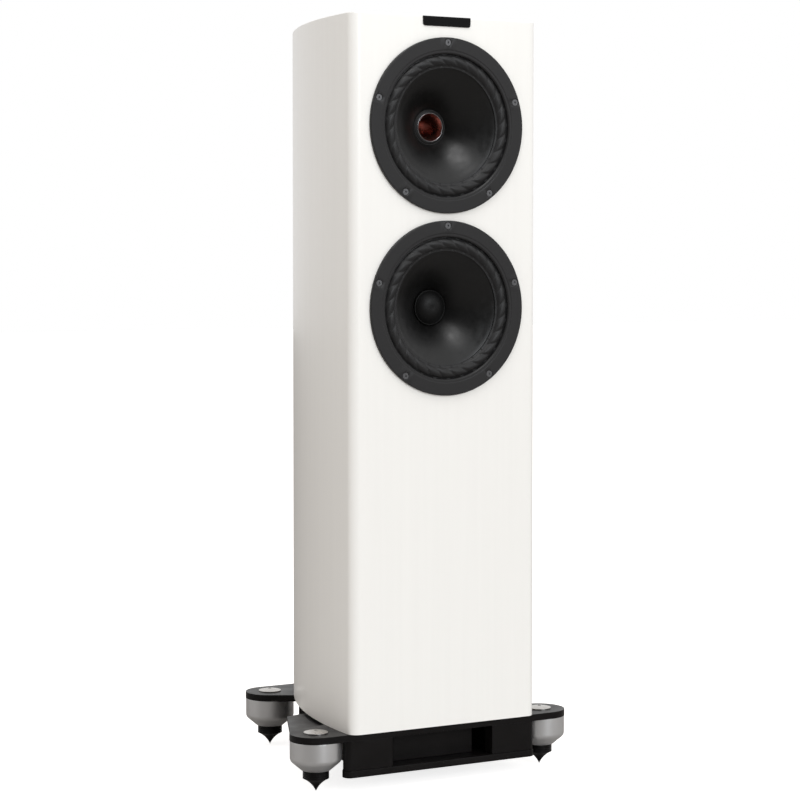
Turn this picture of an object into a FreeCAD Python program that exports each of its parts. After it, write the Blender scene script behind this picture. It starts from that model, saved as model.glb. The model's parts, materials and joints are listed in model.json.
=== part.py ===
"""Floorstanding loudspeaker: curved cabinet, two drivers, plinth and four spiked feet.

+Z is up, the baffle faces -Y, and the origin is on the floor under the middle of the outline.
"""
import FreeCAD, Part
import Sketcher
import math
import os

SIZES = {
    # cabinet
    "cabinet_floor": 84.0, "cabinet_height": 1027.0, "cabinet_width": 310.0, "cabinet_depth": 372.0,
    "panel_wall": 18.0, "baffle_wall": 22.0, "edge_radius": 15.0, "glue_gap": 0.2, "side_radius": 690.0,
    "top_edge": 1.5, "brace_wall": 15.0, "brace_drop": 98.0, "brace_border": 38.0,
    # badge and terminals
    "badge_width": 79.0, "badge_drop": 14.0, "badge_wrap": 9.0, "badge_wall": 1.5, "badge_corner": 4.0,
    "terminal_level": 215.0, "terminal_width": 84.0, "terminal_height": 96.0, "terminal_wall": 3.0,
    "post_pitch": 38.0, "post_radius": 3.0, "post_length": 50.0, "socket_radius": 2.0,
    "socket_depth": 18.0, "knob_radius": 7.5, "knob_length": 20.0, "knob_step": 1.0, "knob_collar": 3.0,
    "flute_radius": 1.1, "flute_out": 0.6, "flute_stop": 6.0, "knob_gap": 0.3, "running_gap": 0.05,
    "small_screw": 1.6, "slot_depth": 1.0, "terminal_screw_inset": 7.0,
    # port and crossover
    "port_radius": 37.5, "port_wall": 3.0, "port_length": 170.0, "port_flare": 50.0, "port_throat": 9.0,
    "port_depth": 190.0, "board_width": 76.0, "board_height": 190.0, "board_wall": 2.0, "board_gap": 20.0,
    "standoff": 6.0, "coil_radius": 22.0, "coil_bore": 9.0, "coil_height": 24.0, "capacitor_radius": 11.0,
    "capacitor_length": 46.0, "board_margin": 6.0, "first_coil": 38.0, "second_coil": 104.5,
    "capacitor_level": 138.7, "capacitor_out": 14.3, "lining_wall": 30.0, "lining_width": 90.0,
    "lining_gap": 20.0,
    # plinth
    "plate_wall": 10.0, "front_foot_spread": 35.0, "front_foot_back": 45.0, "rear_foot_inset": 51.0,
    "rear_foot_back": 371.0, "lug_lip": 0.5, "lug_root_in": 5.0, "lug_root_back": 10.0,
    "plate_middle_in": 30.0, "plate_middle_back": 180.0, "plate_waist_in": 67.0, "plate_waist_back": 272.0,
    "rear_arm": 42.0, "web_wall": 6.0, "web_overlap": 8.0, "web_lug_out": 26.0, "web_side_out": 9.0,
    "web_side_back": 190.0, "web_root_in": 40.0, "web_root_back": 204.0, "web_front_in": 30.0,
    "wall_foot_gap": 1.6, "wall_front": 8.0, "wall_waist_back": 100.0, "wall_back": 322.0,
    "wall_tail_out": 78.0, "wall_thick": 22.0, "wall_corner": 10.0, "window_half": 84.0,
    "window_over": 5.0, "base_wall": 10.0, "base_floor": 21.0, "base_lip": 1.0, "diffuser_half": 67.0,
    "diffuser_back": 30.0, "diffuser_wall": 16.0, "port_clear": 58.0, "bolt_radius": 3.0, "bolt_head": 5.5,
    "bolt_head_height": 5.0, "bolt_reach": 12.0, "bolt_gap": 0.3, "bolt_key_depth": 3.0,
    "front_bolt_out": 95.0, "front_bolt_back": 60.0, "rear_bolt_out": 45.0, "rear_bolt_back": 272.0,
    # feet
    "foot_radius": 37.5, "foot_shoulder": 45.0, "foot_bottom": 31.0, "foot_bottom_radius": 21.0,
    "spike_flare": 19.0, "spike_radius": 19.0, "spike_curve": 36.0, "shank_radius": 13.0,
    "shank_top": 50.0, "shaft_radius": 6.0, "screw_radius": 5.0, "screw_bottom": 36.0, "bore_relief": 0.5,
    "spigot_radius": 9.0, "spigot_height": 8.0, "cap_radius": 17.5, "cap_edge": 1.2, "cap_rise": 2.6,
    "cap_gap": 0.3, "key_flats": 5.0, "key_depth": 3.0,
    # drivers, depths measured back from the baffle's face
    "upper_drop": 156.0, "driver_pitch": 263.0, "rim_radius": 126.5, "rim_proud": 5.0, "rim_width": 23.5,
    "rim_chamfer": 1.5, "flange_inset": 2.5, "flange_wall": 6.0, "flange_gap": 0.5, "cutout_inset": 9.5,
    "basket_gap": 1.0, "basket_shoulder": 6.0, "basket_floor": 6.0, "basket_draft": 1.0,
    "basket_wall": 3.0, "basket_waist": 68.0, "basket_depth": 82.0, "window_share": 0.33, "frame_lip": 3.5,
    "screw_inset": 7.5, "driver_screw": 2.5, "driver_screw_length": 20.0, "driver_screw_head": 4.6,
    "screw_run_out": 1.0, "head_height": 2.6, "head_gap": 0.3, "hex_flats": 3.0, "roll_width": 15.0,
    "roll_overlap": 1.5, "land_width": 6.0, "land_gap": 1.0, "surround_lip": 3.0, "surround_wall": 1.4,
    "surround_rise": 4.8, "surround_gap": 0.2, "cone_depth": 50.0, "cone_wall": 1.4, "cone_curve": 150.0,
    "former_radius": 25.0, "former_wall": 0.8, "former_end": 98.0, "winding_wall": 0.9,
    "winding_length": 12.0, "spider_radius": 61.5, "spider_depth": 60.0, "spider_wall": 0.8,
    "spider_wave": 2.2, "spider_inner_flat": 3.0, "spider_outer_flat": 4.0, "plate_thick": 8.0,
    "motor_plate_radius": 62.0, "gap_outer": 27.5, "pole_radius": 24.4, "magnet_inner": 36.0,
    "magnet_radius": 76.0, "magnet_thick": 22.0, "magnet_chamfer": 2.0, "yoke_radius": 72.0,
    "yoke_thick": 8.0,
    # coaxial high-frequency unit and dust cap
    "throat_front": 47.0, "throat_outer": 20.0, "throat_mouth": 18.6, "throat_exit": 12.5,
    "throat_ring_wall": 3.6, "throat_ring_thick": 3.0, "throat_ring_edge": 1.0, "throat_seat": 2.0,
    "throat_curve": 120.0, "dome_radius": 17.0, "dome_gap": 1.0, "dome_side_gap": 0.3, "dome_rise": 4.0,
    "dome_wall": 1.0, "dome_flat": 3.0, "cover_radius": 40.0, "cover_thick": 26.0, "cover_chamfer": 4.0,
    "dust_cap_radius": 25.7, "dust_cap_skirt": 2.0, "dust_cap_rise": 9.0, "dust_cap_wall": 1.0,
}
SCREWS_PER_DRIVER = 5
BASKET_WINDOWS = 6
SPIDER_WAVES = 5
KNOB_FLUTES = 12
WALL_TURN = 32.0        # degrees that the plinth box draws in behind its front corners
REAR_ARM_TURN = 29.0    # degrees that the rear lugs' arms lean forward

document = FreeCAD.newDocument("Speaker")
sheet = document.addObject("Spreadsheet::Sheet", "Sizes")
for row, (word, number) in enumerate(SIZES.items(), start=1):
    sheet.set(f"A{row}", word)
    sheet.set(f"B{row}", str(number))
    sheet.setAlias(f"B{row}", word)
document.recompute()


class Dim:
    """A size as a number, together with the expression that ties it to the sheet."""

    def __init__(self, value, text):
        self.value = float(value)
        self.text = text

    def _join(self, other, sign, result):
        return Dim(result, f"({self.text} {sign} {dim(other).text})")

    def __add__(self, other):
        return self._join(other, "+", self.value + dim(other).value)

    def __sub__(self, other):
        return self._join(other, "-", self.value - dim(other).value)

    def __mul__(self, other):
        return self._join(other, "*", self.value * dim(other).value)

    def __truediv__(self, other):
        return self._join(other, "/", self.value / dim(other).value)

    def __radd__(self, other):
        return dim(other) + self

    def __rsub__(self, other):
        return dim(other) - self

    def __rmul__(self, other):
        return dim(other) * self

    def __neg__(self):
        return 0 - self


def dim(number):
    """A plain number as a Dim, and a Dim as itself."""
    return number if isinstance(number, Dim) else Dim(number, repr(float(number)))


def size(word):
    """The size that the sheet holds under this alias."""
    return Dim(sheet.get(word), f"Sizes.{word}")


def root(square):
    """The square root of a Dim."""
    return Dim(math.sqrt(square.value), f"sqrt({square.text})")


def bind(thing, path, value):
    """Tie one property to a Dim."""
    thing.setExpression(path, dim(value).text)


class Sizes:
    """Every driving size, and the places worked out from them."""

    def __getattr__(self, word):
        return size(word)


S = Sizes()
LUG_RADIUS = S.foot_radius + S.lug_lip
FRONT = (S.rim_proud - S.rear_foot_back - LUG_RADIUS) / 2
BAFFLE_BACK = FRONT + S.baffle_wall
REAR = FRONT + S.cabinet_depth
HALF = S.cabinet_width / 2
FRONT_FOOT_OUT = HALF + S.front_foot_spread
REAR_FOOT_OUT = HALF - S.rear_foot_inset
WALL_OUT = FRONT_FOOT_OUT - (
    S.foot_radius + S.wall_foot_gap - (S.front_foot_back - S.wall_front) * math.sin(math.radians(WALL_TURN))
) / math.cos(math.radians(WALL_TURN))
CABINET_TOP = S.cabinet_floor + S.cabinet_height
WALLS_TOP = CABINET_TOP - S.panel_wall
PLATE_FLOOR = S.cabinet_floor - S.plate_wall
BASE_TOP = S.base_floor + S.base_wall
PORT_Y = FRONT + S.port_depth
UPPER_LEVEL = CABINET_TOP - S.upper_drop
LOWER_LEVEL = UPPER_LEVEL - S.driver_pitch
DIVIDER_LEVEL = (UPPER_LEVEL + LOWER_LEVEL - S.brace_wall) / 2
BRACE_LEVEL = LOWER_LEVEL - S.rim_radius + S.flange_inset - S.brace_drop
BOARD_LEVEL = BRACE_LEVEL + S.brace_wall + S.board_gap
RIM_INNER = S.rim_radius - S.rim_width
FLANGE = S.rim_radius - S.flange_inset
SCREW_CIRCLE = S.rim_radius - S.screw_inset
CUTOUT = FLANGE - S.cutout_inset
BASKET = CUTOUT - S.basket_gap
FRAME_INNER = RIM_INNER - S.frame_lip
ROLL_OUT = FRAME_INNER + S.roll_overlap
ROLL_IN = ROLL_OUT - S.roll_width
LAND_OUT = ROLL_OUT + S.land_width
PLATE_BACK = S.basket_depth + S.plate_thick
MAGNET_BACK = PLATE_BACK + S.magnet_thick
YOKE_BACK = MAGNET_BACK + S.yoke_thick
ORIGIN = (0, 0, 0)


# ---- modelling helpers ----

def plane(body, role):
    """The body's own origin plane with this role."""
    return next(feature for feature in body.Origin.OriginFeatures if feature.Role == role)


def new_body(label, at=ORIGIN, turn=0.0):
    """A body that stands at a bound place, turned about Z."""
    body = document.addObject("PartDesign::Body", label)
    body.Label = label
    place = [dim(value) for value in at]
    spin = FreeCAD.Rotation(FreeCAD.Vector(0, 0, 1), turn)
    body.Placement = FreeCAD.Placement(FreeCAD.Vector(*(value.value for value in place)), spin)
    for letter, value in zip("xyz", place):
        bind(body, f"Placement.Base.{letter}", value)
    return body


def new_sketch(body, role, offset=0):
    """A sketch on one of the body's origin planes, lifted along the plane's normal."""
    sketch = body.newObject("Sketcher::SketchObject", f"{body.Name}_sketch")
    sketch.AttachmentSupport = (plane(body, role), [""])
    sketch.MapMode = "FlatFace"
    bind(sketch, "AttachmentOffset.Base.z", offset)
    return sketch


def tie(sketch, kind, *place, value):
    """Add a driving constraint bound to a Dim."""
    value = dim(value)
    index = sketch.addConstraint(Sketcher.Constraint(kind, *place, value.value))
    sketch.setExpression(f"Constraints[{index}]", value.text)


def arc_between(start, end, radius, left):
    """The short arc from start to end whose bulge is to the left or to the right of its chord."""
    chord = end - start
    middle = (start + end) / 2
    normal = FreeCAD.Vector(-chord.y, chord.x, 0).normalize() * (1 if left else -1)
    rise = radius - math.sqrt(radius ** 2 - chord.Length ** 2 / 4)
    return Part.Arc(start, middle + normal * rise, end)


def outline(sketch, points):
    """A closed outline. A point is (x, y), or (x, y, radius, left) where an arc leaves it."""
    corners = [(dim(point[0]), dim(point[1])) for point in points]
    first = sketch.GeometryCount
    for index, point in enumerate(points):
        start = FreeCAD.Vector(*(value.value for value in corners[index]), 0)
        end = FreeCAD.Vector(*(value.value for value in corners[(index + 1) % len(points)]), 0)
        if len(point) == 2:
            sketch.addGeometry(Part.LineSegment(start, end))
            continue
        # An arc's ends swap when it runs clockwise, so each arc remembers which end is its start.
        sketch.addGeometry(arc_between(start, end, dim(point[2]).value, point[3]))
    for index, point in enumerate(points):
        here, after = first + index, first + (index + 1) % len(points)
        sketch.addConstraint(Sketcher.Constraint("Coincident", here, end_of(points[index]), after,
                                                 start_of(points[(index + 1) % len(points)])))
        tie(sketch, "DistanceX", -1, 1, here, start_of(point), value=corners[index][0])
        tie(sketch, "DistanceY", -1, 1, here, start_of(point), value=corners[index][1])
        if len(point) == 4:
            tie(sketch, "Radius", here, value=point[2])


def start_of(point):
    """The vertex number where a segment starts: an arc bulging left runs clockwise, so it is swapped."""
    return 2 if len(point) == 4 and point[3] else 1


def end_of(point):
    """The vertex number where a segment ends."""
    return 3 - start_of(point)


def circle(sketch, x, y, radius):
    """A circle with a bound centre and radius."""
    centre = FreeCAD.Vector(dim(x).value, dim(y).value, 0)
    index = sketch.addGeometry(Part.Circle(centre, FreeCAD.Vector(0, 0, 1), dim(radius).value))
    tie(sketch, "Radius", index, value=radius)
    tie(sketch, "DistanceX", -1, 1, index, 3, value=x)
    tie(sketch, "DistanceY", -1, 1, index, 3, value=y)


def pad(body, sketch, length, midplane=False):
    """Pad a sketch."""
    feature = body.newObject("PartDesign::Pad", f"{body.Name}_pad")
    feature.Profile = sketch
    feature.Midplane = midplane
    bind(feature, "Length", length)
    return feature


def pocket(body, sketch, length):
    """Cut a sketch to both sides of its plane, half the length each way."""
    document.recompute()
    before = body.Shape.Volume
    feature = body.newObject("PartDesign::Pocket", f"{body.Name}_pocket")
    feature.Profile = sketch
    feature.Midplane = True
    bind(feature, "Length", length)
    document.recompute()
    if body.Shape.Volume >= before:
        raise RuntimeError(f"{body.Label}: a pocket cut nothing")
    return feature


def revolve(label, points, at, role="XY_Plane"):
    """A body turned about the sketch's upright axis: Y on the XY plane, Z on the XZ plane."""
    body = new_body(label, at)
    sketch = new_sketch(body, role)
    outline(sketch, points)
    feature = body.newObject("PartDesign::Revolution", f"{label}_turned")
    feature.Profile = sketch
    feature.ReferenceAxis = (sketch, ["V_Axis"])
    feature.Angle = 360
    return body


def polar(body, feature, axis_role, count):
    """Repeat a feature round one of the body's axes."""
    pattern = body.newObject("PartDesign::PolarPattern", f"{body.Name}_ring")
    pattern.Originals = [feature]
    pattern.Axis = (plane(body, axis_role), [""])
    pattern.Angle = 360
    pattern.Occurrences = count
    body.Tip = pattern
    return pattern


def fillet(body, radius, chosen):
    """Round the edges of the body's tip for which chosen(edge) is true."""
    document.recompute()
    tip = body.Tip
    names = [f"Edge{index}" for index, edge in enumerate(tip.Shape.Edges, start=1) if chosen(edge)]
    if not names:
        raise RuntimeError(f"{body.Label}: no edge to round")
    feature = body.newObject("PartDesign::Fillet", f"{body.Name}_fillet")
    feature.Base = (tip, names)
    bind(feature, "Radius", radius)
    return feature


def upright(edge, x, y, near=0.5):
    """Whether an edge runs along Z within reach of the line at |x|, y."""
    box = edge.BoundBox
    thin = box.XLength < near and box.YLength < near and box.ZLength > near
    return thin and abs(abs(box.Center.x) - x) < near and abs(box.Center.y - y) < near


def loose(label, shape):
    """A sub-part whose shape is put together from plain solids."""
    feature = document.addObject("Part::Feature", label)
    feature.Label = label
    feature.Shape = shape
    return feature


def rod(radius, length, at, along):
    """A plain cylinder."""
    return Part.makeCylinder(radius.value, dim(length).value, FreeCAD.Vector(*at), FreeCAD.Vector(*along))


def hexagon(flats, depth, at, along):
    """A hexagonal prism for a key socket."""
    reach = flats / math.sqrt(3)
    corners = [FreeCAD.Vector(reach * math.cos(k * math.pi / 3), reach * math.sin(k * math.pi / 3), 0)
               for k in range(7)]
    prism = Part.Face(Part.makePolygon(corners)).extrude(FreeCAD.Vector(0, 0, depth))
    prism.Placement = FreeCAD.Placement(FreeCAD.Vector(*at),
                                        FreeCAD.Rotation(FreeCAD.Vector(0, 0, 1), FreeCAD.Vector(*along)))
    return prism


# ---- cabinet ----

def side_x(depth_y, radius):
    """How far from the middle the curved side stands at a depth, for its outer or inner radius."""
    reach = depth_y - BAFFLE_BACK
    return HALF - S.side_radius + root(radius * radius - reach * reach)


def side_panel(label, hand):
    """A curved side, bent from the baffle's back edge to the back panel."""
    inner = S.side_radius - S.panel_wall
    body = new_body(label, (0, 0, S.cabinet_floor))
    sketch = new_sketch(body, "XY_Plane")
    left = hand < 0
    outline(sketch, [
        (hand * HALF, BAFFLE_BACK, S.side_radius, left),
        (hand * side_x(REAR, S.side_radius), REAR),
        (hand * side_x(REAR, inner), REAR, inner, not left),
        (hand * (HALF - S.panel_wall), BAFFLE_BACK),
    ])
    pad(body, sketch, WALLS_TOP - S.cabinet_floor)


def shelf(label, level, wall):
    """A board that fills the cabinet between its walls."""
    inner = S.side_radius - S.panel_wall
    back = REAR - S.panel_wall
    body = new_body(label, (0, 0, level))
    sketch = new_sketch(body, "XY_Plane")
    front_half = HALF - S.panel_wall - S.glue_gap
    back_half = side_x(back, inner) - S.glue_gap
    outline(sketch, [
        (-front_half, BAFFLE_BACK),
        (front_half, BAFFLE_BACK, inner, False),
        (back_half, back),
        (-back_half, back, inner, False),
    ])
    pad(body, sketch, wall)
    return body


def front_baffle():
    """The flat front board, with a rebate and a cut-out for each driver."""
    body = new_body("front_baffle", (0, 0, S.cabinet_floor))
    sketch = new_sketch(body, "XY_Plane")
    outline(sketch, [(-HALF, FRONT), (HALF, FRONT), (HALF, BAFFLE_BACK), (-HALF, BAFFLE_BACK)])
    pad(body, sketch, WALLS_TOP - S.cabinet_floor)
    fillet(body, S.edge_radius, lambda edge: upright(edge, HALF.value, FRONT.value))
    for radius, depth in ((FLANGE + S.flange_gap, S.flange_wall), (CUTOUT, S.baffle_wall * 2)):
        cut = new_sketch(body, "XZ_Plane", -FRONT)
        for level in (UPPER_LEVEL, LOWER_LEVEL):
            circle(cut, 0, level - S.cabinet_floor, radius)
        pocket(body, cut, depth * 2)
    holes = new_sketch(body, "XZ_Plane", -FRONT)
    for level in (UPPER_LEVEL, LOWER_LEVEL):
        for x, z in screw_places():
            circle(holes, x, level - S.cabinet_floor + z, S.driver_screw + S.running_gap)
    pocket(body, holes, (S.driver_screw_length + S.screw_run_out) * 2)


def top_panel():
    """The lid: the whole plan outline with a softened top edge."""
    body = new_body("top_panel", (0, 0, WALLS_TOP))
    sketch = new_sketch(body, "XY_Plane")
    tail = side_x(REAR, S.side_radius)
    outline(sketch, [
        (-HALF, FRONT), (HALF, FRONT), (HALF, BAFFLE_BACK, S.side_radius, False),
        (tail, REAR), (-tail, REAR, S.side_radius, False), (-HALF, BAFFLE_BACK),
    ])
    pad(body, sketch, S.panel_wall)
    fillet(body, S.edge_radius, lambda edge: upright(edge, HALF.value, FRONT.value))
    level = S.panel_wall.value
    fillet(body, S.top_edge, lambda edge: abs(edge.BoundBox.ZMin - level) < 0.01
           and abs(edge.BoundBox.ZMax - level) < 0.01)
    recess = new_sketch(body, "XY_Plane", S.panel_wall)
    half = S.badge_width / 2 + S.glue_gap
    outline(recess, [(-half, FRONT - 1), (half, FRONT - 1), (half, FRONT + S.badge_wrap + S.glue_gap),
                     (-half, FRONT + S.badge_wrap + S.glue_gap)])
    pocket(body, recess, S.badge_wall * 2)


def back_panel():
    """The narrow back board between the side panels, drilled for the terminal studs."""
    inner = S.side_radius - S.panel_wall
    front = REAR - S.panel_wall
    body = new_body("back_panel", (0, 0, S.cabinet_floor))
    sketch = new_sketch(body, "XY_Plane")
    near, far = side_x(front, inner) - S.glue_gap, side_x(REAR, inner) - S.glue_gap
    outline(sketch, [(-near, front), (near, front), (far, REAR), (-far, REAR)])
    pad(body, sketch, WALLS_TOP - S.cabinet_floor)
    holes = new_sketch(body, "XZ_Plane", -REAR)
    for x, z in post_places():
        circle(holes, x, z - S.cabinet_floor, S.post_radius + S.running_gap)
    pocket(body, holes, S.panel_wall * 3)


def bottom_panel():
    """The floor of the cabinet, with the hole for the port."""
    body = shelf("bottom_panel", S.cabinet_floor, S.panel_wall)
    hole = new_sketch(body, "XY_Plane")
    circle(hole, 0, PORT_Y, S.port_radius + S.port_wall + S.running_gap)
    pocket(body, hole, S.panel_wall * 3)
    bolts = new_sketch(body, "XY_Plane")
    for x, y in bolt_places():
        circle(bolts, x, y, S.bolt_radius + S.running_gap)
    pocket(body, bolts, (S.bolt_reach + S.bolt_gap) * 2)


def window_brace():
    """A brace with a large window, so that the air stays joined."""
    body = shelf("window_brace", BRACE_LEVEL, S.brace_wall)
    window = new_sketch(body, "XY_Plane")
    inner = S.side_radius - S.panel_wall
    back = REAR - S.panel_wall - S.brace_border
    front = BAFFLE_BACK + S.brace_border
    wide = side_x(front, inner) - S.brace_border
    narrow = side_x(back, inner) - S.brace_border
    outline(window, [(-wide, front), (wide, front), (narrow, back), (-narrow, back)])
    pocket(body, window, S.brace_wall * 3)


def port_tube():
    """The bass port: a tube through the floor, flared where it opens into the plinth."""
    outer = S.port_radius + S.port_wall
    revolve("port_tube", [
        (S.port_radius, 0), (S.port_radius, S.port_length), (outer, S.port_length), (outer, 0),
        (S.port_flare, 0), (S.port_flare, -S.port_wall),
        (S.port_radius + S.port_throat, -S.port_wall),
    ], (0, PORT_Y, S.cabinet_floor), "XZ_Plane")


def badge_plate():
    """A thin plain plate that wraps over the top front edge, its top leg let in flush with the lid."""
    body = new_body("badge_plate", (0, FRONT, CABINET_TOP))
    face = new_sketch(body, "XZ_Plane")
    half = S.badge_width / 2
    wall = S.badge_wall
    outline(face, [(-half, -S.badge_drop), (half, -S.badge_drop), (half, 0), (-half, 0)])
    pad(body, face, wall)
    fillet(body, S.badge_corner, lambda edge: edge.BoundBox.ZMax < -1 and edge.BoundBox.XLength < 0.1
           and edge.BoundBox.ZLength < 0.1)
    top = new_sketch(body, "XY_Plane", -wall)
    outline(top, [(-half, -wall), (half, -wall), (half, S.badge_wrap), (-half, S.badge_wrap)])
    pad(body, top, wall)


# ---- terminals and crossover ----

def post_places():
    """Where the four binding posts stand on the back: x and height."""
    half = S.post_pitch / 2
    return [(x * half, S.terminal_level + z * half) for z in (1, -1) for x in (-1, 1)]


def terminals():
    """The plate, its corner screws, the four studs and a knob on each."""
    plate_back = REAR + S.terminal_wall
    body = new_body("terminal_plate", (0, REAR, S.terminal_level))
    sketch = new_sketch(body, "XZ_Plane", -S.terminal_wall)
    wide, high = S.terminal_width / 2, S.terminal_height / 2
    outline(sketch, [(-wide, -high), (wide, -high), (wide, high), (-wide, high)])
    pad(body, sketch, S.terminal_wall)
    fillet(body, S.badge_corner, lambda edge: edge.BoundBox.YLength > 1 and edge.BoundBox.XLength < 0.1)
    holes = new_sketch(body, "XZ_Plane")
    for x, z in post_places():
        circle(holes, x, z - S.terminal_level, S.post_radius + S.running_gap)
    corner_x, corner_z = wide - S.terminal_screw_inset, high - S.terminal_screw_inset
    corners = [(x * corner_x, z * corner_z) for x in (-1, 1) for z in (-1, 1)]
    for x, z in corners:
        circle(holes, x, z, S.small_screw + S.running_gap)
    pocket(body, holes, S.terminal_wall * 4)

    back = (0, 1, 0)
    screws = []
    for x, z in corners:
        height = (z + S.terminal_level).value
        shank = rod(S.small_screw, S.terminal_wall, (x.value, REAR.value, height), back)
        head = rod(S.small_screw * 2, S.small_screw, (x.value, plate_back.value, height), back)
        slot_at = (x.value, (plate_back + S.small_screw).value, height)
        slot = hexagon(S.small_screw.value * 1.5, S.slot_depth.value, slot_at, (0, -1, 0))
        screws.append(shank.fuse(head).cut(slot))
    loose("terminal_screws", Part.makeCompound(screws))

    knob_front = plate_back + S.knob_gap
    studs = []
    tip = knob_front + S.knob_length
    for x, z in post_places():
        stud = rod(S.post_radius, S.post_length, (x.value, tip.value, z.value), (0, -1, 0))
        bore = rod(S.socket_radius, S.socket_depth, (x.value, tip.value, z.value), (0, -1, 0))
        studs.append(stud.cut(bore))
    loose("terminal_studs", Part.makeCompound(studs))

    names = ("upper_left_knob", "upper_right_knob", "lower_left_knob", "lower_right_knob")
    inner = S.post_radius + S.running_gap
    waist, grip = S.knob_radius - S.knob_step, S.knob_radius
    for name, (x, z) in zip(names, post_places()):
        knob = revolve(name, [
            (inner, 0), (waist, 0), (waist, S.knob_collar), (grip, S.knob_collar + S.knob_step),
            (grip, S.knob_length - S.knob_step), (waist, S.knob_length), (inner, S.knob_length),
        ], (x, knob_front, z))
        flute = new_sketch(knob, "XZ_Plane", -(S.knob_length - S.flute_stop))
        circle(flute, grip + S.flute_out, 0, S.flute_radius)
        groove = pocket(knob, flute, S.knob_length)
        polar(knob, groove, "Y_Axis", KNOB_FLUTES)


def crossover():
    """The filter board on the back panel with its coils and capacitors, and the wadding above it."""
    inside = REAR - S.panel_wall
    face = inside - S.standoff - S.board_wall
    board = Part.makeBox(S.board_width.value, S.board_wall.value, S.board_height.value,
                         FreeCAD.Vector((-S.board_width / 2).value, face.value, BOARD_LEVEL.value))
    margin = S.board_margin
    for x in (-1, 1):
        for z in (margin.value, (S.board_height - margin).value):
            at = (x * (S.board_width / 2 - margin).value, inside.value, BOARD_LEVEL.value + z)
            board = board.fuse(rod(S.small_screw * 2, S.standoff, at, (0, -1, 0)))
    loose("crossover_board", board)
    parts = []
    forward = (0, -1, 0)
    for level in (S.first_coil, S.second_coil):
        at = (0, face.value, (BOARD_LEVEL + level).value)
        coil = rod(S.coil_radius, S.coil_height, at, forward)
        parts.append(coil.cut(rod(S.coil_bore, S.coil_height, at, forward)))
    for x in (-1, 1):
        at = (x * S.capacitor_out.value, (face - S.capacitor_radius).value,
              (BOARD_LEVEL + S.capacitor_level).value)
        parts.append(rod(S.capacitor_radius, S.capacitor_length, at, (0, 0, 1)))
    loose("crossover_parts", Part.makeCompound(parts))
    floor = BOARD_LEVEL + S.board_height + S.lining_gap
    corner = FreeCAD.Vector((-S.lining_width / 2).value, (inside - S.lining_wall).value, floor.value)
    height = DIVIDER_LEVEL - S.lining_gap - floor
    loose("wadding_lining", Part.makeBox(S.lining_width.value, S.lining_wall.value, height.value, corner))


# ---- plinth and feet ----

def foot_places():
    """The four feet: name, x and y."""
    front_y, rear_y = FRONT + S.front_foot_back, FRONT + S.rear_foot_back
    return [("front_left", -FRONT_FOOT_OUT, front_y), ("front_right", FRONT_FOOT_OUT, front_y),
            ("rear_left", -REAR_FOOT_OUT, rear_y), ("rear_right", REAR_FOOT_OUT, rear_y)]


def bolt_places():
    """Where the plinth is bolted up into the cabinet."""
    front_y, rear_y = FRONT + S.front_bolt_back, FRONT + S.rear_bolt_back
    front_x, rear_x = S.front_bolt_out, S.rear_bolt_out
    return [(-front_x, front_y), (front_x, front_y), (-rear_x, rear_y), (rear_x, rear_y)]


def mirrored(points):
    """An outline given by its right half, front to back, closed by its mirror image."""
    return points + [(-x, y) for x, y in reversed(points)]


def plinth_top_plate():
    """The plate under the cabinet, with a round lug for each foot and a low web behind the front lugs."""
    body = new_body("plinth_top_plate", (0, 0, PLATE_FLOOR))
    front_y, rear_y = FRONT + S.front_foot_back, FRONT + S.rear_foot_back
    along, across = math.cos(math.radians(REAR_ARM_TURN)), math.sin(math.radians(REAR_ARM_TURN))
    arm_x, arm_y = REAR_FOOT_OUT + LUG_RADIUS * across, rear_y - LUG_RADIUS * along
    core = new_sketch(body, "XY_Plane")
    outline(core, mirrored([
        (FRONT_FOOT_OUT, front_y - LUG_RADIUS), (FRONT_FOOT_OUT, front_y + LUG_RADIUS),
        (HALF - S.lug_root_in, front_y + LUG_RADIUS + S.lug_root_back),
        (HALF - S.plate_middle_in, FRONT + S.plate_middle_back),
        (HALF - S.plate_waist_in, FRONT + S.plate_waist_back),
        (arm_x - S.rear_arm * along, arm_y - S.rear_arm * across), (arm_x, arm_y),
        (REAR_FOOT_OUT, rear_y + LUG_RADIUS),
    ]))
    pad(body, core, S.plate_wall)
    for _, x, y in foot_places():
        lug = new_sketch(body, "XY_Plane")
        circle(lug, x, y, LUG_RADIUS)
        pad(body, lug, S.plate_wall)
    for hand in (-1, 1):
        web = new_sketch(body, "XY_Plane")
        web_front = front_y + LUG_RADIUS - S.web_overlap
        outline(web, [
            (hand * (FRONT_FOOT_OUT + S.web_lug_out), web_front),
            (hand * (HALF + S.web_side_out), FRONT + S.web_side_back),
            (hand * (HALF - S.web_root_in), FRONT + S.web_root_back),
            (hand * (HALF - S.web_front_in), web_front),
        ])
        pad(body, web, S.web_wall)
    holes = new_sketch(body, "XY_Plane")
    for _, x, y in foot_places():
        circle(holes, x, y, S.spigot_radius + S.running_gap)
    circle(holes, 0, PORT_Y, S.port_clear)
    for x, y in bolt_places():
        circle(holes, x, y, S.bolt_radius + S.running_gap)
    pocket(body, holes, S.plate_wall * 3)


def box_outline(grow):
    """The plinth box in plan, drawn in past the front feet, then less to the tail, grown by an offset."""
    front, waist = FRONT + S.wall_front - grow, FRONT + S.wall_waist_back
    slant = math.tan(math.radians(WALL_TURN))
    out = WALL_OUT + grow / math.cos(math.radians(WALL_TURN)) + grow * slant
    return mirrored([(out, front), (out - (waist - front) * slant, waist),
                     (S.wall_tail_out + grow, FRONT + S.wall_back + grow)])


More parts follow.
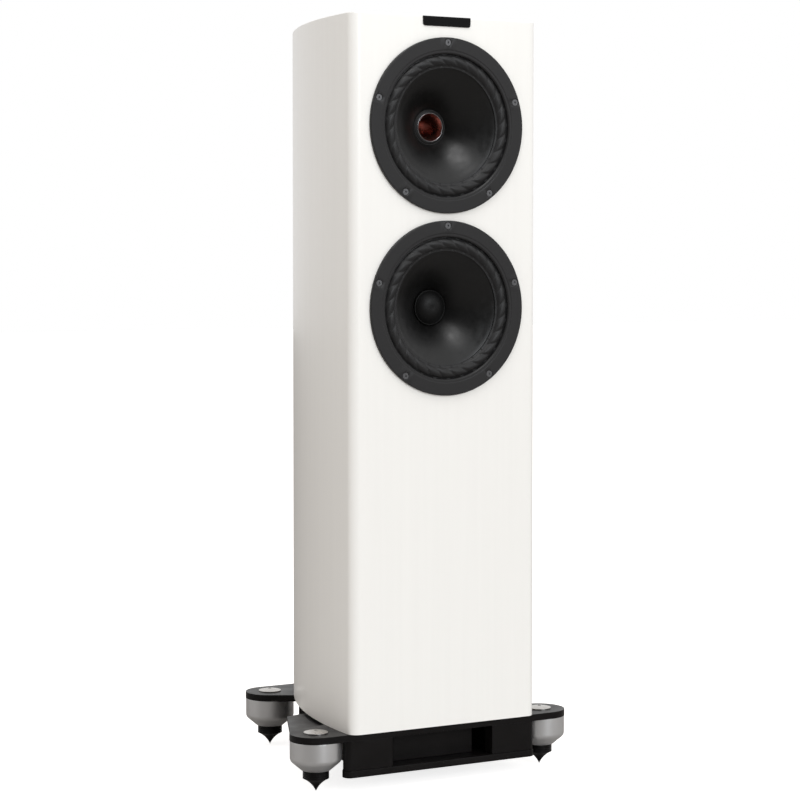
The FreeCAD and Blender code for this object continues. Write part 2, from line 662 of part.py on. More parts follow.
def plinth_box():
    """The hollow wall under the plate with its front window, the board it stands on and the diffuser."""
    front = FRONT + S.wall_front
    wall = new_body("plinth_wall", (0, 0, BASE_TOP))
    sketch = new_sketch(wall, "XY_Plane")
    outline(sketch, box_outline(dim(0)))
    height = PLATE_FLOOR - BASE_TOP
    pad(wall, sketch, height)
    fillet(wall, S.wall_corner, lambda edge: upright(edge, WALL_OUT.value, front.value))
    hollow = new_sketch(wall, "XY_Plane")
    outline(hollow, box_outline(-S.wall_thick))
    pocket(wall, hollow, height * 3)
    window = new_sketch(wall, "XY_Plane")
    near, far = front - S.window_over, front + S.wall_thick + S.window_over
    outline(window, [(-S.window_half, near), (S.window_half, near),
                     (S.window_half, far), (-S.window_half, far)])
    pocket(wall, window, height * 3)

    base = new_body("plinth_base_plate", (0, 0, S.base_floor))
    sketch = new_sketch(base, "XY_Plane")
    lip = S.base_lip
    outline(sketch, box_outline(lip))
    pad(base, sketch, S.base_wall)
    corner = box_outline(lip)[0]
    fillet(base, S.wall_corner + lip, lambda edge: upright(edge, corner[0].value, corner[1].value))

    diffuser = new_body("bass_diffuser", (0, front + S.diffuser_back, BASE_TOP))
    sketch = new_sketch(diffuser, "XY_Plane")
    half = S.diffuser_half
    outline(sketch, [(-half, 0), (half, 0), (half, S.diffuser_wall), (-half, S.diffuser_wall)])
    pad(diffuser, sketch, height)

    bolts = []
    up = (0, 0, 1)
    for x, y in bolt_places():
        at = (x.value, y.value, PLATE_FLOOR.value)
        shank = rod(S.bolt_radius, S.plate_wall + S.bolt_reach, at, up)
        head = rod(S.bolt_head, S.bolt_head_height, at, (0, 0, -1))
        key_at = (at[0], at[1], at[2] - S.bolt_head_height.value)
        key = hexagon(S.bolt_head.value, S.bolt_key_depth.value, key_at, up)
        bolts.append(shank.fuse(head).cut(key))
    loose("plinth_bolts", Part.makeCompound(bolts))


def foot(name, x, y):
    """A turned housing under its lug, the adjuster turned from above, and the spike that it drives."""
    gap = S.running_gap
    spigot_top = PLATE_FLOOR + S.spigot_height
    relief = S.bore_relief
    bore_top = S.shank_top + relief
    revolve(f"{name}_foot", [
        (S.shank_radius + gap, S.foot_bottom), (S.foot_bottom_radius, S.foot_bottom),
        (S.foot_radius, S.foot_shoulder), (S.foot_radius, PLATE_FLOOR), (S.spigot_radius, PLATE_FLOOR),
        (S.spigot_radius, spigot_top), (S.shaft_radius + gap, spigot_top), (S.shaft_radius + gap, bore_top),
        (S.shank_radius + gap, bore_top),
    ], (x, y, 0), "XZ_Plane")
    screw_floor = S.screw_bottom + relief * 2
    cap_floor = S.cabinet_floor + S.cap_gap
    cap_edge = cap_floor + S.cap_edge
    cap_top = cap_edge + S.cap_rise
    dome = (S.cap_radius * S.cap_radius / S.cap_rise + S.cap_rise) / 2
    adjuster = revolve(f"{name}_adjuster", [
        (0, screw_floor), (S.screw_radius, screw_floor), (S.screw_radius, bore_top + relief),
        (S.shaft_radius, bore_top + relief), (S.shaft_radius, cap_floor), (S.cap_radius, cap_floor),
        (S.cap_radius, cap_edge, dome, False), (0, cap_top),
    ], (x, y, 0), "XZ_Plane")
    key = new_sketch(adjuster, "XY_Plane", cap_top)
    reach = S.key_flats / math.sqrt(3)
    outline(key, [(reach * math.cos(k * math.pi / 3), reach * math.sin(k * math.pi / 3)) for k in range(6)])
    pocket(adjuster, key, S.key_depth * 2)
    revolve(f"{name}_spike", [
        (0, 0, S.spike_curve, True), (S.spike_radius, S.spike_flare), (S.spike_radius, S.foot_bottom),
        (S.shank_radius, S.foot_bottom), (S.shank_radius, S.shank_top), (S.screw_radius + gap, S.shank_top),
        (S.screw_radius + gap, S.screw_bottom), (0, S.screw_bottom),
    ], (x, y, 0), "XZ_Plane")


# ---- drivers ----

def trim_ring(name, at):
    """The flat ring over the driver's flange, with a counterbored hole for each screw."""
    chamfer = S.rim_chamfer
    body = revolve(f"{name}_trim_ring", [
        (RIM_INNER, 0), (S.rim_radius, 0), (S.rim_radius, chamfer - S.rim_proud),
        (S.rim_radius - chamfer, -S.rim_proud), (RIM_INNER + chamfer, -S.rim_proud),
        (RIM_INNER, chamfer - S.rim_proud),
    ], at)
    for radius, depth in ((S.driver_screw_head + S.head_gap, S.head_height + S.head_gap),
                          (S.driver_screw + S.running_gap, S.rim_proud * 2)):
        hole = new_sketch(body, "XZ_Plane", S.rim_proud)
        circle(hole, 0, SCREW_CIRCLE, radius)
        cut = pocket(body, hole, depth * 2)
        polar(body, cut, "Y_Axis", SCREWS_PER_DRIVER)


def chassis(name, at):
    """The cast basket: flange, windowed cone and the seat for the spider and the front plate."""
    wall, deep, flange = S.basket_wall, S.basket_depth, S.flange_wall
    shoulder = S.baffle_wall + S.basket_shoulder
    seat = S.spider_depth + S.spider_wall
    land, outer = S.surround_gap + S.surround_wall, LAND_OUT + S.land_gap
    floor, draft = S.former_radius + S.basket_floor, S.basket_draft
    body = revolve(f"{name}_chassis", [
        (FLANGE, 0), (FLANGE, flange), (BASKET, flange), (BASKET, shoulder),
        (S.basket_waist, deep), (floor, deep), (floor, deep - wall),
        (S.spider_radius - wall, deep - wall), (S.spider_radius - wall, seat), (S.spider_radius, seat),
        (S.spider_radius, deep - wall), (S.basket_waist - draft, deep - wall),
        (BASKET - wall, shoulder - draft), (BASKET - wall, flange), (FRAME_INNER, flange), (FRAME_INNER, land),
        (outer, land), (outer, 0),
    ], at)
    screw = new_sketch(body, "XZ_Plane")
    circle(screw, 0, SCREW_CIRCLE, S.driver_screw + S.running_gap)
    polar(body, pocket(body, screw, flange * 3), "Y_Axis", SCREWS_PER_DRIVER)
    middle = (BASKET + S.basket_waist) / 2
    window = new_sketch(body, "XZ_Plane", -(shoulder + deep) / 2)
    circle(window, 0, middle, (BASKET - S.basket_waist) * S.window_share)
    polar(body, pocket(body, window, deep - shoulder - wall * 2), "Y_Axis", BASKET_WINDOWS)


def dome_radius(half, rise):
    """The radius of an arc with this half chord and rise."""
    return (half * half / rise + rise) / 2


def surround(name, at):
    """The half-roll rubber edge between the cone and the flange."""
    half = (ROLL_OUT - ROLL_IN) / 2
    wall, top = S.surround_wall, S.surround_gap
    bottom, lip = top + wall, ROLL_IN - S.surround_lip
    revolve(f"{name}_surround", [
        (lip, top), (ROLL_IN, top, dome_radius(half, S.surround_rise), False),
        (ROLL_OUT, top), (LAND_OUT, top), (LAND_OUT, bottom),
        (ROLL_OUT - wall, bottom, dome_radius(half - wall, S.surround_rise - wall), True),
        (ROLL_IN + wall, bottom), (lip, bottom),
    ], at)


def cone(name, at):
    """The flared cone, glued to the former at its neck."""
    rim = S.surround_gap + S.surround_wall
    neck = S.former_radius + S.former_wall
    back = S.cone_wall * 1.3
    revolve(f"{name}_cone", [
        (ROLL_IN, rim, S.cone_curve, True), (neck, S.cone_depth),
        (neck, S.cone_depth + back, S.cone_curve, False), (ROLL_IN, rim + back),
    ], at)


def voice_coil(name, at):
    """The former with its winding."""
    outer = S.former_radius + S.former_wall
    winding = S.former_end - S.winding_length
    revolve(f"{name}_voice_coil", [
        (S.former_radius, S.cone_depth), (outer, S.cone_depth), (outer, winding),
        (outer + S.winding_wall, winding), (outer + S.winding_wall, S.former_end),
        (S.former_radius, S.former_end),
    ], at)


def spider(name, at):
    """The corrugated centring disc between the former and its seat in the basket."""
    inner = S.former_radius + S.former_wall
    start, end = inner + S.spider_inner_flat, S.spider_radius - S.spider_outer_flat
    pitch = (end - start) / (2 * SPIDER_WAVES)
    front = [(inner, S.spider_depth), (start, S.spider_depth)]
    for index in range(1, 2 * SPIDER_WAVES):
        swing = S.spider_wave if index % 2 else -S.spider_wave
        front.append((start + pitch * index, S.spider_depth + swing))
    front += [(end, S.spider_depth), (S.spider_radius, S.spider_depth)]
    back = [(x, y + S.spider_wall) for x, y in reversed(front)]
    revolve(f"{name}_spider", front + back, at)


def motor(name, at, pole_front, bore=None):
    """The magnet ring and the yoke, whose pole may be bored for a throat."""
    edge = S.magnet_chamfer
    revolve(f"{name}_magnet", [
        (S.magnet_inner, PLATE_BACK), (S.magnet_radius - edge, PLATE_BACK),
        (S.magnet_radius, PLATE_BACK + edge), (S.magnet_radius, MAGNET_BACK - edge),
        (S.magnet_radius - edge, MAGNET_BACK), (S.magnet_inner, MAGNET_BACK),
    ], at)
    inner = 0 if bore is None else bore
    revolve(f"{name}_yoke", [
        (inner, pole_front), (S.pole_radius, pole_front), (S.pole_radius, MAGNET_BACK),
        (S.yoke_radius, MAGNET_BACK), (S.yoke_radius, YOKE_BACK), (inner, YOKE_BACK),
    ], at)


def treble_unit(at):
    """The throat through the pole, its bright ring, the dome behind it and the rear cover."""
    ring_front = S.throat_front
    ring_back, ring_edge = ring_front + S.throat_ring_thick, ring_front + S.throat_ring_edge
    throat_back = YOKE_BACK - S.throat_seat
    revolve("throat_ring", [
        (S.throat_outer + S.running_gap, ring_back), (S.throat_outer + S.running_gap, ring_edge),
        (S.throat_outer + S.throat_ring_wall / 2, ring_front),
        (S.throat_outer + S.throat_ring_wall, ring_edge),
        (S.throat_outer + S.throat_ring_wall, ring_back),
    ], at)
    revolve("treble_throat", [
        (S.throat_outer, ring_front), (S.throat_outer, throat_back), (S.throat_exit, throat_back),
        (S.throat_exit, MAGNET_BACK - S.magnet_thick, S.throat_curve, True), (S.throat_mouth, ring_front),
    ], at)
    front = YOKE_BACK + S.dome_gap
    back = front + S.dome_wall
    flat = S.dome_radius - S.dome_flat
    arc = dome_radius(flat, S.dome_rise)
    revolve("treble_dome", [
        (S.dome_radius, front), (S.dome_radius, back), (flat, back, arc, False), (0, back + S.dome_rise),
        (0, front + S.dome_rise, arc, True), (flat, front),
    ], at)
    cavity = S.dome_radius + S.dome_side_gap
    cavity_back = back + S.dome_rise + S.dome_gap * 2
    cover_back, edge = YOKE_BACK + S.cover_thick, S.cover_chamfer
    revolve("treble_cover", [
        (cavity, YOKE_BACK), (S.cover_radius, YOKE_BACK), (S.cover_radius, cover_back - edge),
        (S.cover_radius - edge, cover_back), (0, cover_back), (0, cavity_back),
        (cavity, cavity_back),
    ], at)


def dust_cap(at):
    """The domed cap over the bass driver's voice coil."""
    outer, back = S.dust_cap_radius, S.cone_depth
    edge, inner = back - S.dust_cap_skirt, outer - S.dust_cap_wall
    top = edge - S.dust_cap_rise
    under = top + S.dust_cap_wall
    rise = edge - under
    revolve("dust_cap", [
        (outer, back), (outer, edge, dome_radius(outer, S.dust_cap_rise), True), (0, top),
        (0, under, dome_radius(inner, rise), False), (inner, edge), (inner, back),
    ], at)


def front_plates(levels):
    """The motors' front plates, one on each basket."""
    plates = []
    for level in levels:
        at = (0, (FRONT + S.basket_depth).value, level.value)
        plate = rod(S.motor_plate_radius, S.plate_thick, at, (0, 1, 0))
        plates.append(plate.cut(rod(S.gap_outer, S.plate_thick, at, (0, 1, 0))))
    loose("motor_front_plates", Part.makeCompound(plates))


def driver_screws(levels):
    """The socket screws of both drivers."""
    screws = []
    back = (0, 1, 0)
    seat = FRONT - S.rim_proud + S.head_height + S.head_gap
    for level in levels:
        for x, z in screw_places():
            at = (x.value, seat.value, (level + z).value)
            shank = rod(S.driver_screw, S.driver_screw_length, at, back)
            head = rod(S.driver_screw_head, S.head_height, at, (0, -1, 0))
            top = (at[0], at[1] - S.head_height.value, at[2])
            screws.append(shank.fuse(head).cut(hexagon(S.hex_flats.value, 1.6, top, back)))
    loose("driver_screws", Part.makeCompound(screws))


def screw_places():
    """The screw centres round a driver, the first one at the top."""
    steps = [2 * math.pi * index / SCREWS_PER_DRIVER for index in range(SCREWS_PER_DRIVER)]
    return [(SCREW_CIRCLE * math.sin(step), SCREW_CIRCLE * math.cos(step)) for step in steps]


def drivers():
    """Both drivers, piece by piece."""
    places = {"upper": (0, FRONT, UPPER_LEVEL), "lower": (0, FRONT, LOWER_LEVEL)}
    for name, at in places.items():
        for make in (trim_ring, chassis, surround, cone, voice_coil, spider):
            make(name, at)
    motor("upper", places["upper"], S.throat_front + S.throat_ring_thick, S.throat_outer + S.running_gap)
    motor("lower", places["lower"], S.basket_depth)
    treble_unit(places["upper"])
    dust_cap(places["lower"])
    levels = (UPPER_LEVEL, LOWER_LEVEL)
    front_plates(levels)
    driver_screws(levels)


# ---- build, check and write ----

def cabinet():
    """The cabinet's boards and what is fixed to them."""
    front_baffle()
    side_panel("left_side_panel", -1)
    side_panel("right_side_panel", 1)
    top_panel()
    bottom_panel()
    back_panel()
    shelf("chamber_divider", DIVIDER_LEVEL, S.brace_wall)
    window_brace()
    port_tube()
    badge_plate()


def write_parts():
    """Check every object and write each sub-part to its own file."""
    document.recompute()
    failed = [thing.Label for thing in document.Objects if {"Invalid", "Error"} & set(thing.State)]
    if failed:
        raise RuntimeError(f"failed: {failed}")
    subparts = [thing for thing in document.Objects if thing.TypeId in ("PartDesign::Body", "Part::Feature")]
    for part in subparts:
        if part.Shape.isNull() or not part.Shape.isValid():
            raise RuntimeError(f"{part.Label}: no valid shape")
    os.makedirs("parts", exist_ok=True)
    for part in subparts:
        part.Shape.exportStep(f"parts/{part.Label}.step")
    print(len(subparts), "sub-parts written")


cabinet()
terminals()
crossover()
plinth_top_plate()
plinth_box()
for foot_name, foot_x, foot_y in foot_places():
    foot(foot_name, foot_x, foot_y)
drivers()
write_parts()
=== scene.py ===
"""The looks of a floorstanding loudspeaker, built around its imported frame.

Lengths are in metres in the frame's axes: +Z up, the baffle faces -Y, the floor is z = 0.
"""
import json
import logging
import math
from dataclasses import dataclass
from enum import Enum
from typing import Callable, Sequence

import bpy
import bmesh
from mathutils import Euler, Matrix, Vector
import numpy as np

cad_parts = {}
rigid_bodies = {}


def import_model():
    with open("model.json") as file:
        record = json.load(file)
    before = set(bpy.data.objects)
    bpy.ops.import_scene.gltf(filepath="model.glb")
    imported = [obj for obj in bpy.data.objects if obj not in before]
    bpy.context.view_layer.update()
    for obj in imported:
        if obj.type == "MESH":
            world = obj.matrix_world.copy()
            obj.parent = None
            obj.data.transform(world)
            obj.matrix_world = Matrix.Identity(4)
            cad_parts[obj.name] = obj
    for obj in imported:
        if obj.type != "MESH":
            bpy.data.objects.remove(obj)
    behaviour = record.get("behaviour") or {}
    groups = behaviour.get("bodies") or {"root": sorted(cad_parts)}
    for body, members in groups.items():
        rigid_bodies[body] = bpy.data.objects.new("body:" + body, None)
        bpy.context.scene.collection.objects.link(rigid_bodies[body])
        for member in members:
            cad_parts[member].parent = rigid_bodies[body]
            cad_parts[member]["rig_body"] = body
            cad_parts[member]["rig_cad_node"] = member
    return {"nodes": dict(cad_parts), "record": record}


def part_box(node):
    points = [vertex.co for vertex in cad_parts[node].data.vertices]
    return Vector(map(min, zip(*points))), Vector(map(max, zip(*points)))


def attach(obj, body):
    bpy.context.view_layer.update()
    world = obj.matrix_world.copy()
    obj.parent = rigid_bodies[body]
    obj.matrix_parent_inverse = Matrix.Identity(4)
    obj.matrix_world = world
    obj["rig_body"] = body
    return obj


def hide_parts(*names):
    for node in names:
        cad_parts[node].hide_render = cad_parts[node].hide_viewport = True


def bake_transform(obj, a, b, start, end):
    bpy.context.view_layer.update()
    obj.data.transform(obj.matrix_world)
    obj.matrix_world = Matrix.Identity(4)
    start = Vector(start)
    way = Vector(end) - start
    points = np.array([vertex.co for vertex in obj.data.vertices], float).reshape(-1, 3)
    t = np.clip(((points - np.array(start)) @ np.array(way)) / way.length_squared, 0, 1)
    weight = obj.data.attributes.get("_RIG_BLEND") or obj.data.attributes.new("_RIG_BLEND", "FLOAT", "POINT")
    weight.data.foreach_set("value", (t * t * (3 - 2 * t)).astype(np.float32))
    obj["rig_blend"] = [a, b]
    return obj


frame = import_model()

LOG = logging.getLogger("loudspeaker")
MM = 0.001
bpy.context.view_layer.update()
Point = tuple[float, float]
FORWARD = Vector((0, -1, 0))
UPWARD = Vector((0, 0, 1))
POLE_RADIUS = 1e-9      # a ring with a smaller radius than this is a point on the axis
NEEDLE_RADIUS = 1e-7    # how narrow a ring gets on its way to a pole
RING_WELD = 0.002 * MM
CAD_WELD = 0.01 * MM
FLAT_DEGREES = 0.5      # faces that turn less than this count as one flat face
SHARP_DEGREES = 30      # edges that turn more than this are eased
PATCH_RANGE = (0.3, 0.7)
# how hard the upright streaks of painted reflection on turned metal are
PAINTED_STREAK_RANGE = (0.36, 0.64)
BUMP_STRENGTH = 0.6
TANGENT_TURN = 0.25     # in whole turns: the glint runs across the lines round a turned piece


# ---- small tools ----

def linear(code: str) -> tuple[float, float, float, float]:
    """Turns an sRGB hex code into a linear colour.

    Args:
        code: six hex digits.
    Returns:
        The linear red, green, blue and an alpha of one.
    """
    parts = [int(code[i:i + 2], 16) / 255 for i in (0, 2, 4)]
    values = [c / 12.92 if c <= 0.04045 else ((c + 0.055) / 1.055) ** 2.4 for c in parts]
    return (*values, 1.0)


WHITE = linear("FFFFFF")


def add_node(tree: bpy.types.NodeTree, kind: str, inputs: dict | None = None, **settings) -> bpy.types.Node:
    """Adds a node with its settings and links.

    Args:
        tree: the node tree.
        kind: the node's type name.
        inputs: socket name or index, with a value or another node's output.
        settings: properties of the node.
    Returns:
        The new node.
    """
    node = tree.nodes.new(kind)
    for name, value in settings.items():
        setattr(node, name, value)
    for name, value in (inputs or {}).items():
        if isinstance(value, bpy.types.NodeSocket):
            tree.links.new(value, node.inputs[name])
        else:
            node.inputs[name].default_value = value
    return node


def arc(start: Point, end: Point, rise: float, steps: int) -> list[Point]:
    """Points of a circular arc, without its first point.

    Args:
        start: where the arc starts, as radius and height.
        end: where it ends.
        rise: how far the arc stands off its chord, to the left of start-to-end if positive.
        steps: how many stretches it has.
    Returns:
        The points after start, up to end.
    """
    chord = Vector(end) - Vector(start)
    half = chord.length / 2
    side = Vector((-chord.y, chord.x)).normalized()
    bend = (half * half + rise * rise) / (2 * rise)
    centre = (Vector(start) + Vector(end)) / 2 + side * (rise - bend)
    first = Vector(start) - centre
    turn = first.angle_signed(Vector(end) - centre, 0)
    points = []
    for k in range(1, steps + 1):
        angle = -turn * k / steps
        spun = Vector((first.x * math.cos(angle) - first.y * math.sin(angle),
                       first.x * math.sin(angle) + first.y * math.cos(angle)))
        points.append(tuple(centre + spun))
    return points


def select_only(piece: bpy.types.Object) -> None:
    """Deselects everything, then selects one object and makes it active."""
    bpy.ops.object.select_all(action="DESELECT")
    piece.select_set(True)
    bpy.context.view_layer.objects.active = piece


def settle(piece: bpy.types.Object) -> None:
    """Puts a piece's place into its mesh, so that its object sits unturned at the origin."""
    select_only(piece)
    bpy.ops.object.transform_apply(location=True, rotation=True, scale=True)


def apply_modifier(piece: bpy.types.Object, kind: str, **settings) -> None:
    """Adds a modifier with its settings and applies it."""
    select_only(piece)
    modifier = piece.modifiers.new(kind.title(), kind)
    for name, value in settings.items():
        setattr(modifier, name, value)
    bpy.ops.object.modifier_apply(modifier=modifier.name)


def smooth(piece: bpy.types.Object, angle: float = 35) -> None:
    """Shades a piece smooth except across edges sharper than an angle in degrees."""
    select_only(piece)
    bpy.ops.object.shade_smooth_by_angle(angle=math.radians(angle))


def ease(piece: bpy.types.Object, width: float, steps: int = 2) -> None:
    """Rounds every sharp edge of a piece by a small width and shades it smooth."""
    apply_modifier(piece, "BEVEL", width=width, segments=steps, limit_method="ANGLE",
                   angle_limit=math.radians(SHARP_DEGREES), use_clamp_overlap=True)
    smooth(piece)
    apply_modifier(piece, "WEIGHTED_NORMAL", keep_sharp=True)


def turned(name: str, centre: Vector, axis: Vector, outline: Sequence[Point], around: int = 96,
           closed: bool = True) -> bpy.types.Object:
    """Turns a piece on an axis by pushing a circle along it and scaling it, ring by ring.

    Args:
        name: the piece's name.
        centre: a point on the axis, from which heights are measured.
        axis: the direction of the heights.
        outline: radius and height of each ring; a radius of zero is a pole, at either end only.
        around: how many vertices a ring has.
        closed: whether the last ring joins the first.
    Returns:
        The piece, with its place in its mesh.
    """
    rings = list(outline)
    start_pole = rings.pop(0) if rings[0][0] < POLE_RADIUS else None
    if closed and start_pole is None:
        rings.append(rings[0])
    radius, height = rings[0]
    bpy.ops.object.select_all(action="DESELECT")
    bpy.ops.mesh.primitive_circle_add(vertices=around, radius=radius, fill_type="NOTHING",
                                      location=centre + axis * height,
                                      rotation=axis.to_track_quat("Z", "Y").to_euler())
    piece = bpy.context.object
    piece.name = piece.data.name = name
    bpy.ops.object.mode_set(mode="EDIT")
    bpy.ops.mesh.select_all(action="SELECT")

    def push(old: Point, new: Point) -> None:
        """Extrudes the selected ring from one radius and height to another."""
        bpy.ops.mesh.extrude_edges_move(TRANSFORM_OT_translate={"value": axis * (new[1] - old[1])})
        share = max(new[0], NEEDLE_RADIUS) / old[0]
        bpy.ops.transform.resize(value=(share, share, share), center_override=centre + axis * new[1])

    for old, new in zip(rings, rings[1:]):
        push(old, new)
    if start_pole is not None:
        bpy.ops.mesh.select_all(action="DESELECT")
        mesh = bmesh.from_edit_mesh(piece.data)
        mesh.verts.ensure_lookup_table()
        for index in range(around):
            mesh.verts[index].select = True
        mesh.select_flush(True)
        bmesh.update_edit_mesh(piece.data)
        push(rings[0], start_pole)
    bpy.ops.mesh.select_all(action="SELECT")
    bpy.ops.mesh.remove_doubles(threshold=RING_WELD)
    bpy.ops.mesh.normals_make_consistent(inside=False)
    bpy.ops.object.mode_set(mode="OBJECT")
    settle(piece)
    return piece


def softened(node: str, name: str, width: float, steps: int = 2) -> bpy.types.Object:
    """Copies a CAD node, joins its loose triangles and eases its edges.

    Args:
        node: the CAD node.
        name: the new piece's name.
        width: how far the edges are rounded.
        steps: how many faces round each edge.
    Returns:
        The copy, which rides on nothing yet.
    """
    select_only(frame["nodes"][node])
    bpy.ops.object.duplicate()
    piece = bpy.context.object
    piece.name = piece.data.name = name
    piece.parent = None
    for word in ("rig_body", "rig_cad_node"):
        del piece[word]
    bpy.ops.mesh.customdata_custom_splitnormals_clear()
    bpy.ops.object.mode_set(mode="EDIT")
    bpy.ops.mesh.select_all(action="SELECT")
    bpy.ops.mesh.remove_doubles(threshold=CAD_WELD)
    bpy.ops.mesh.dissolve_limited(angle_limit=math.radians(FLAT_DEGREES))
    bpy.ops.object.mode_set(mode="OBJECT")
    ease(piece, width, steps)
    return piece


# ---- finishes ----

@dataclass(frozen=True)
class Finish:
    """A surface that varies a little: two close colours in soft patches, and a fine grit in the light."""
    name: str
    colour: str
    second: str
    roughness: float
    metallic: float = 0.0
    ior: float = 1.5
    specular: float = 0.5
    coat: float = 0.0
    coat_roughness: float = 0.1
    anisotropy: float = 0.0
    patch_mm: float = 60.0
    grit_mm: float = 1.0
    grit_depth_mm: float = 0.02
    roughness_swing: float = 0.05
    stretch: tuple[float, float, float] = (1.0, 1.0, 1.0)

    def pattern(self, tree: bpy.types.NodeTree, coordinates: bpy.types.NodeSocket) -> bpy.types.NodeSocket:
        """The soft patches that mix the two colours.

        Args:
            tree: the material's nodes.
            coordinates: the object coordinates, stretched.
        Returns:
            A factor from 0 to 1.
        """
        noise = add_node(tree, "ShaderNodeTexNoise", {
            "Vector": coordinates, "Scale": 1 / (self.patch_mm * MM), "Detail": 4.0, "Roughness": 0.55})
        return noise.outputs["Fac"]

    def relief(self, tree: bpy.types.NodeTree, coordinates: bpy.types.NodeSocket) -> bpy.types.NodeSocket:
        """The fine grit that tilts the surface.

        Args:
            tree: the material's nodes.
            coordinates: the object coordinates, stretched.
        Returns:
            A height from 0 to 1.
        """
        noise = add_node(tree, "ShaderNodeTexNoise", {
            "Vector": coordinates, "Scale": 1 / (self.grit_mm * MM), "Detail": 2.0, "Roughness": 0.6})
        return noise.outputs["Fac"]

    def material(self) -> bpy.types.Material:
        """Makes the material, once.

        Returns:
            The node material of this finish.
        """
        known = bpy.data.materials.get(self.name)
        if known:
            return known
        made = bpy.data.materials.new(self.name)
        made.use_nodes = True
        tree = made.node_tree
        shader = tree.nodes["Principled BSDF"]
        place = add_node(tree, "ShaderNodeTexCoord").outputs["Object"]
        stretched = add_node(tree, "ShaderNodeMapping", {"Vector": place, "Scale": self.stretch}).outputs[0]
        factor = self.pattern(tree, stretched)
        blend = add_node(tree, "ShaderNodeMix", {"Factor": factor, 6: linear(self.colour),
                                                 7: linear(self.second)}, data_type="RGBA")
        tree.links.new(blend.outputs[2], shader.inputs["Base Color"])
        rough = add_node(tree, "ShaderNodeMapRange", {
            "Value": factor, "From Min": PATCH_RANGE[0], "From Max": PATCH_RANGE[1],
            "To Min": max(0.02, self.roughness - self.roughness_swing),
            "To Max": min(1.0, self.roughness + self.roughness_swing)})
        tree.links.new(rough.outputs[0], shader.inputs["Roughness"])
        bump = add_node(tree, "ShaderNodeBump", {"Height": self.relief(tree, stretched),
                                                 "Strength": BUMP_STRENGTH,
                                                 "Distance": self.grit_depth_mm * MM})
        tree.links.new(bump.outputs[0], shader.inputs["Normal"])
        shader.inputs["Metallic"].default_value = self.metallic
        if not self.metallic:
            shader.inputs["IOR"].default_value = self.ior
            shader.inputs["Specular IOR Level"].default_value = self.specular
        shader.inputs["Coat Weight"].default_value = self.coat
        shader.inputs["Coat Roughness"].default_value = self.coat_roughness
        if self.anisotropy:
            round_axis = add_node(tree, "ShaderNodeTangent", direction_type="RADIAL", axis="Z")
            tree.links.new(round_axis.outputs[0], shader.inputs["Tangent"])
            shader.inputs["Anisotropic"].default_value = self.anisotropy
            shader.inputs["Anisotropic Rotation"].default_value = TANGENT_TURN
        return made


@dataclass(frozen=True)
class Woven(Finish):
    """A cloth of crossing threads, stiffened with resin."""
    thread_mm: float = 0.8

    def relief(self, tree: bpy.types.NodeTree, coordinates: bpy.types.NodeSocket) -> bpy.types.NodeSocket:
        """Crossing threads: the higher of two sets of bands.

        Args:
            tree: the material's nodes.
            coordinates: the object coordinates.
        Returns:
            A height from 0 to 1.
        """
        scale = 1 / (self.thread_mm * MM * 3)
        bands = [add_node(tree, "ShaderNodeTexWave", {"Vector": coordinates, "Scale": scale},
                          bands_direction=way).outputs["Fac"] for way in ("X", "Z")]
        return add_node(tree, "ShaderNodeMath", {0: bands[0], 1: bands[1]}, operation="MAXIMUM").outputs[0]


@dataclass(frozen=True)
class Turned(Finish):
    """Metal turned on an upright axis: the fine lines round it draw its reflections out upright, and light
    and dark upright streaks of painted reflection are laid into its colour.
    """
    line_mm: float = 0.5
    drawn_out: float = 0.02

    def pattern(self, tree: bpy.types.NodeTree, coordinates: bpy.types.NodeSocket) -> bpy.types.NodeSocket:
        """Patches drawn out into upright streaks of painted reflection.

        Args:
            tree: the material's nodes.
            coordinates: the object coordinates.
        Returns:
            A factor from 0 to 1.
        """
        upright = add_node(tree, "ShaderNodeMapping", {"Vector": coordinates,
                                                       "Scale": (1, 1, self.drawn_out)})
        soft = super().pattern(tree, upright.outputs[0])
        # sharpened into light and dark bands: painted reflection streaks
        painted_streaks = add_node(tree, "ShaderNodeMapRange", {"Value": soft, "From Min": PAINTED_STREAK_RANGE[0],
                                                     "From Max": PAINTED_STREAK_RANGE[1]})
        return painted_streaks.outputs[0]

    def relief(self, tree: bpy.types.NodeTree, coordinates: bpy.types.NodeSocket) -> bpy.types.NodeSocket:
        """Uneven bands along Z.

        Args:
            tree: the material's nodes.
            coordinates: the object coordinates.
        Returns:
            A height from 0 to 1.
        """
        height = add_node(tree, "ShaderNodeSeparateXYZ", {0: coordinates}).outputs["Z"]
        noise = add_node(tree, "ShaderNodeTexNoise", {"W": height, "Scale": 1 / (self.line_mm * MM),
                                                      "Detail": 3.0}, noise_dimensions="1D")
        return noise.outputs["Fac"]


# Polyester lacquer, sprayed and cut back over veneer: white, satin, the grain just telegraphing through.
LACQUER = Finish("white_satin_lacquer", "F1F2F0", "ECEDEB", 0.30, coat=0.2, coat_roughness=0.12,
                 patch_mm=10, grit_mm=5, grit_depth_mm=0.0015, roughness_swing=0.02,
                 stretch=(1.0, 1.0, 0.02))
# Medium-density fibreboard, sawn: matt tan with short fibres.
FIBREBOARD = Finish("sawn_fibreboard", "A98A62", "8F7350", 0.85, patch_mm=9, grit_mm=0.8,
                    grit_depth_mm=0.08)
# ABS, moulded against a spark-eroded tool: black with a fine even grain.
MOULDED_ABS = Finish("moulded_black_abs", "131314", "1A1A1B", 0.48, ior=1.53, grit_mm=0.7,
                     grit_depth_mm=0.05)
# Acrylic, polished: deep black with sharp reflections.
ACRYLIC = Finish("polished_black_acrylic", "0B0B0C", "0E0E0F", 0.14, ior=1.49, specular=0.2,
                 grit_mm=20, grit_depth_mm=0.005, roughness_swing=0.02)
# Glass-fibre board with solder mask: green, satin.
CIRCUIT_BOARD = Finish("solder_masked_board", "1F4A2C", "23562F", 0.4, patch_mm=12, grit_mm=1.5)
# Enamelled copper wire, wound: bands a wire apart.
COPPER_WIRE = Woven("enamelled_copper_wire", "A65B2A", "8A4520", 0.3, metallic=1.0, grit_depth_mm=0.15)
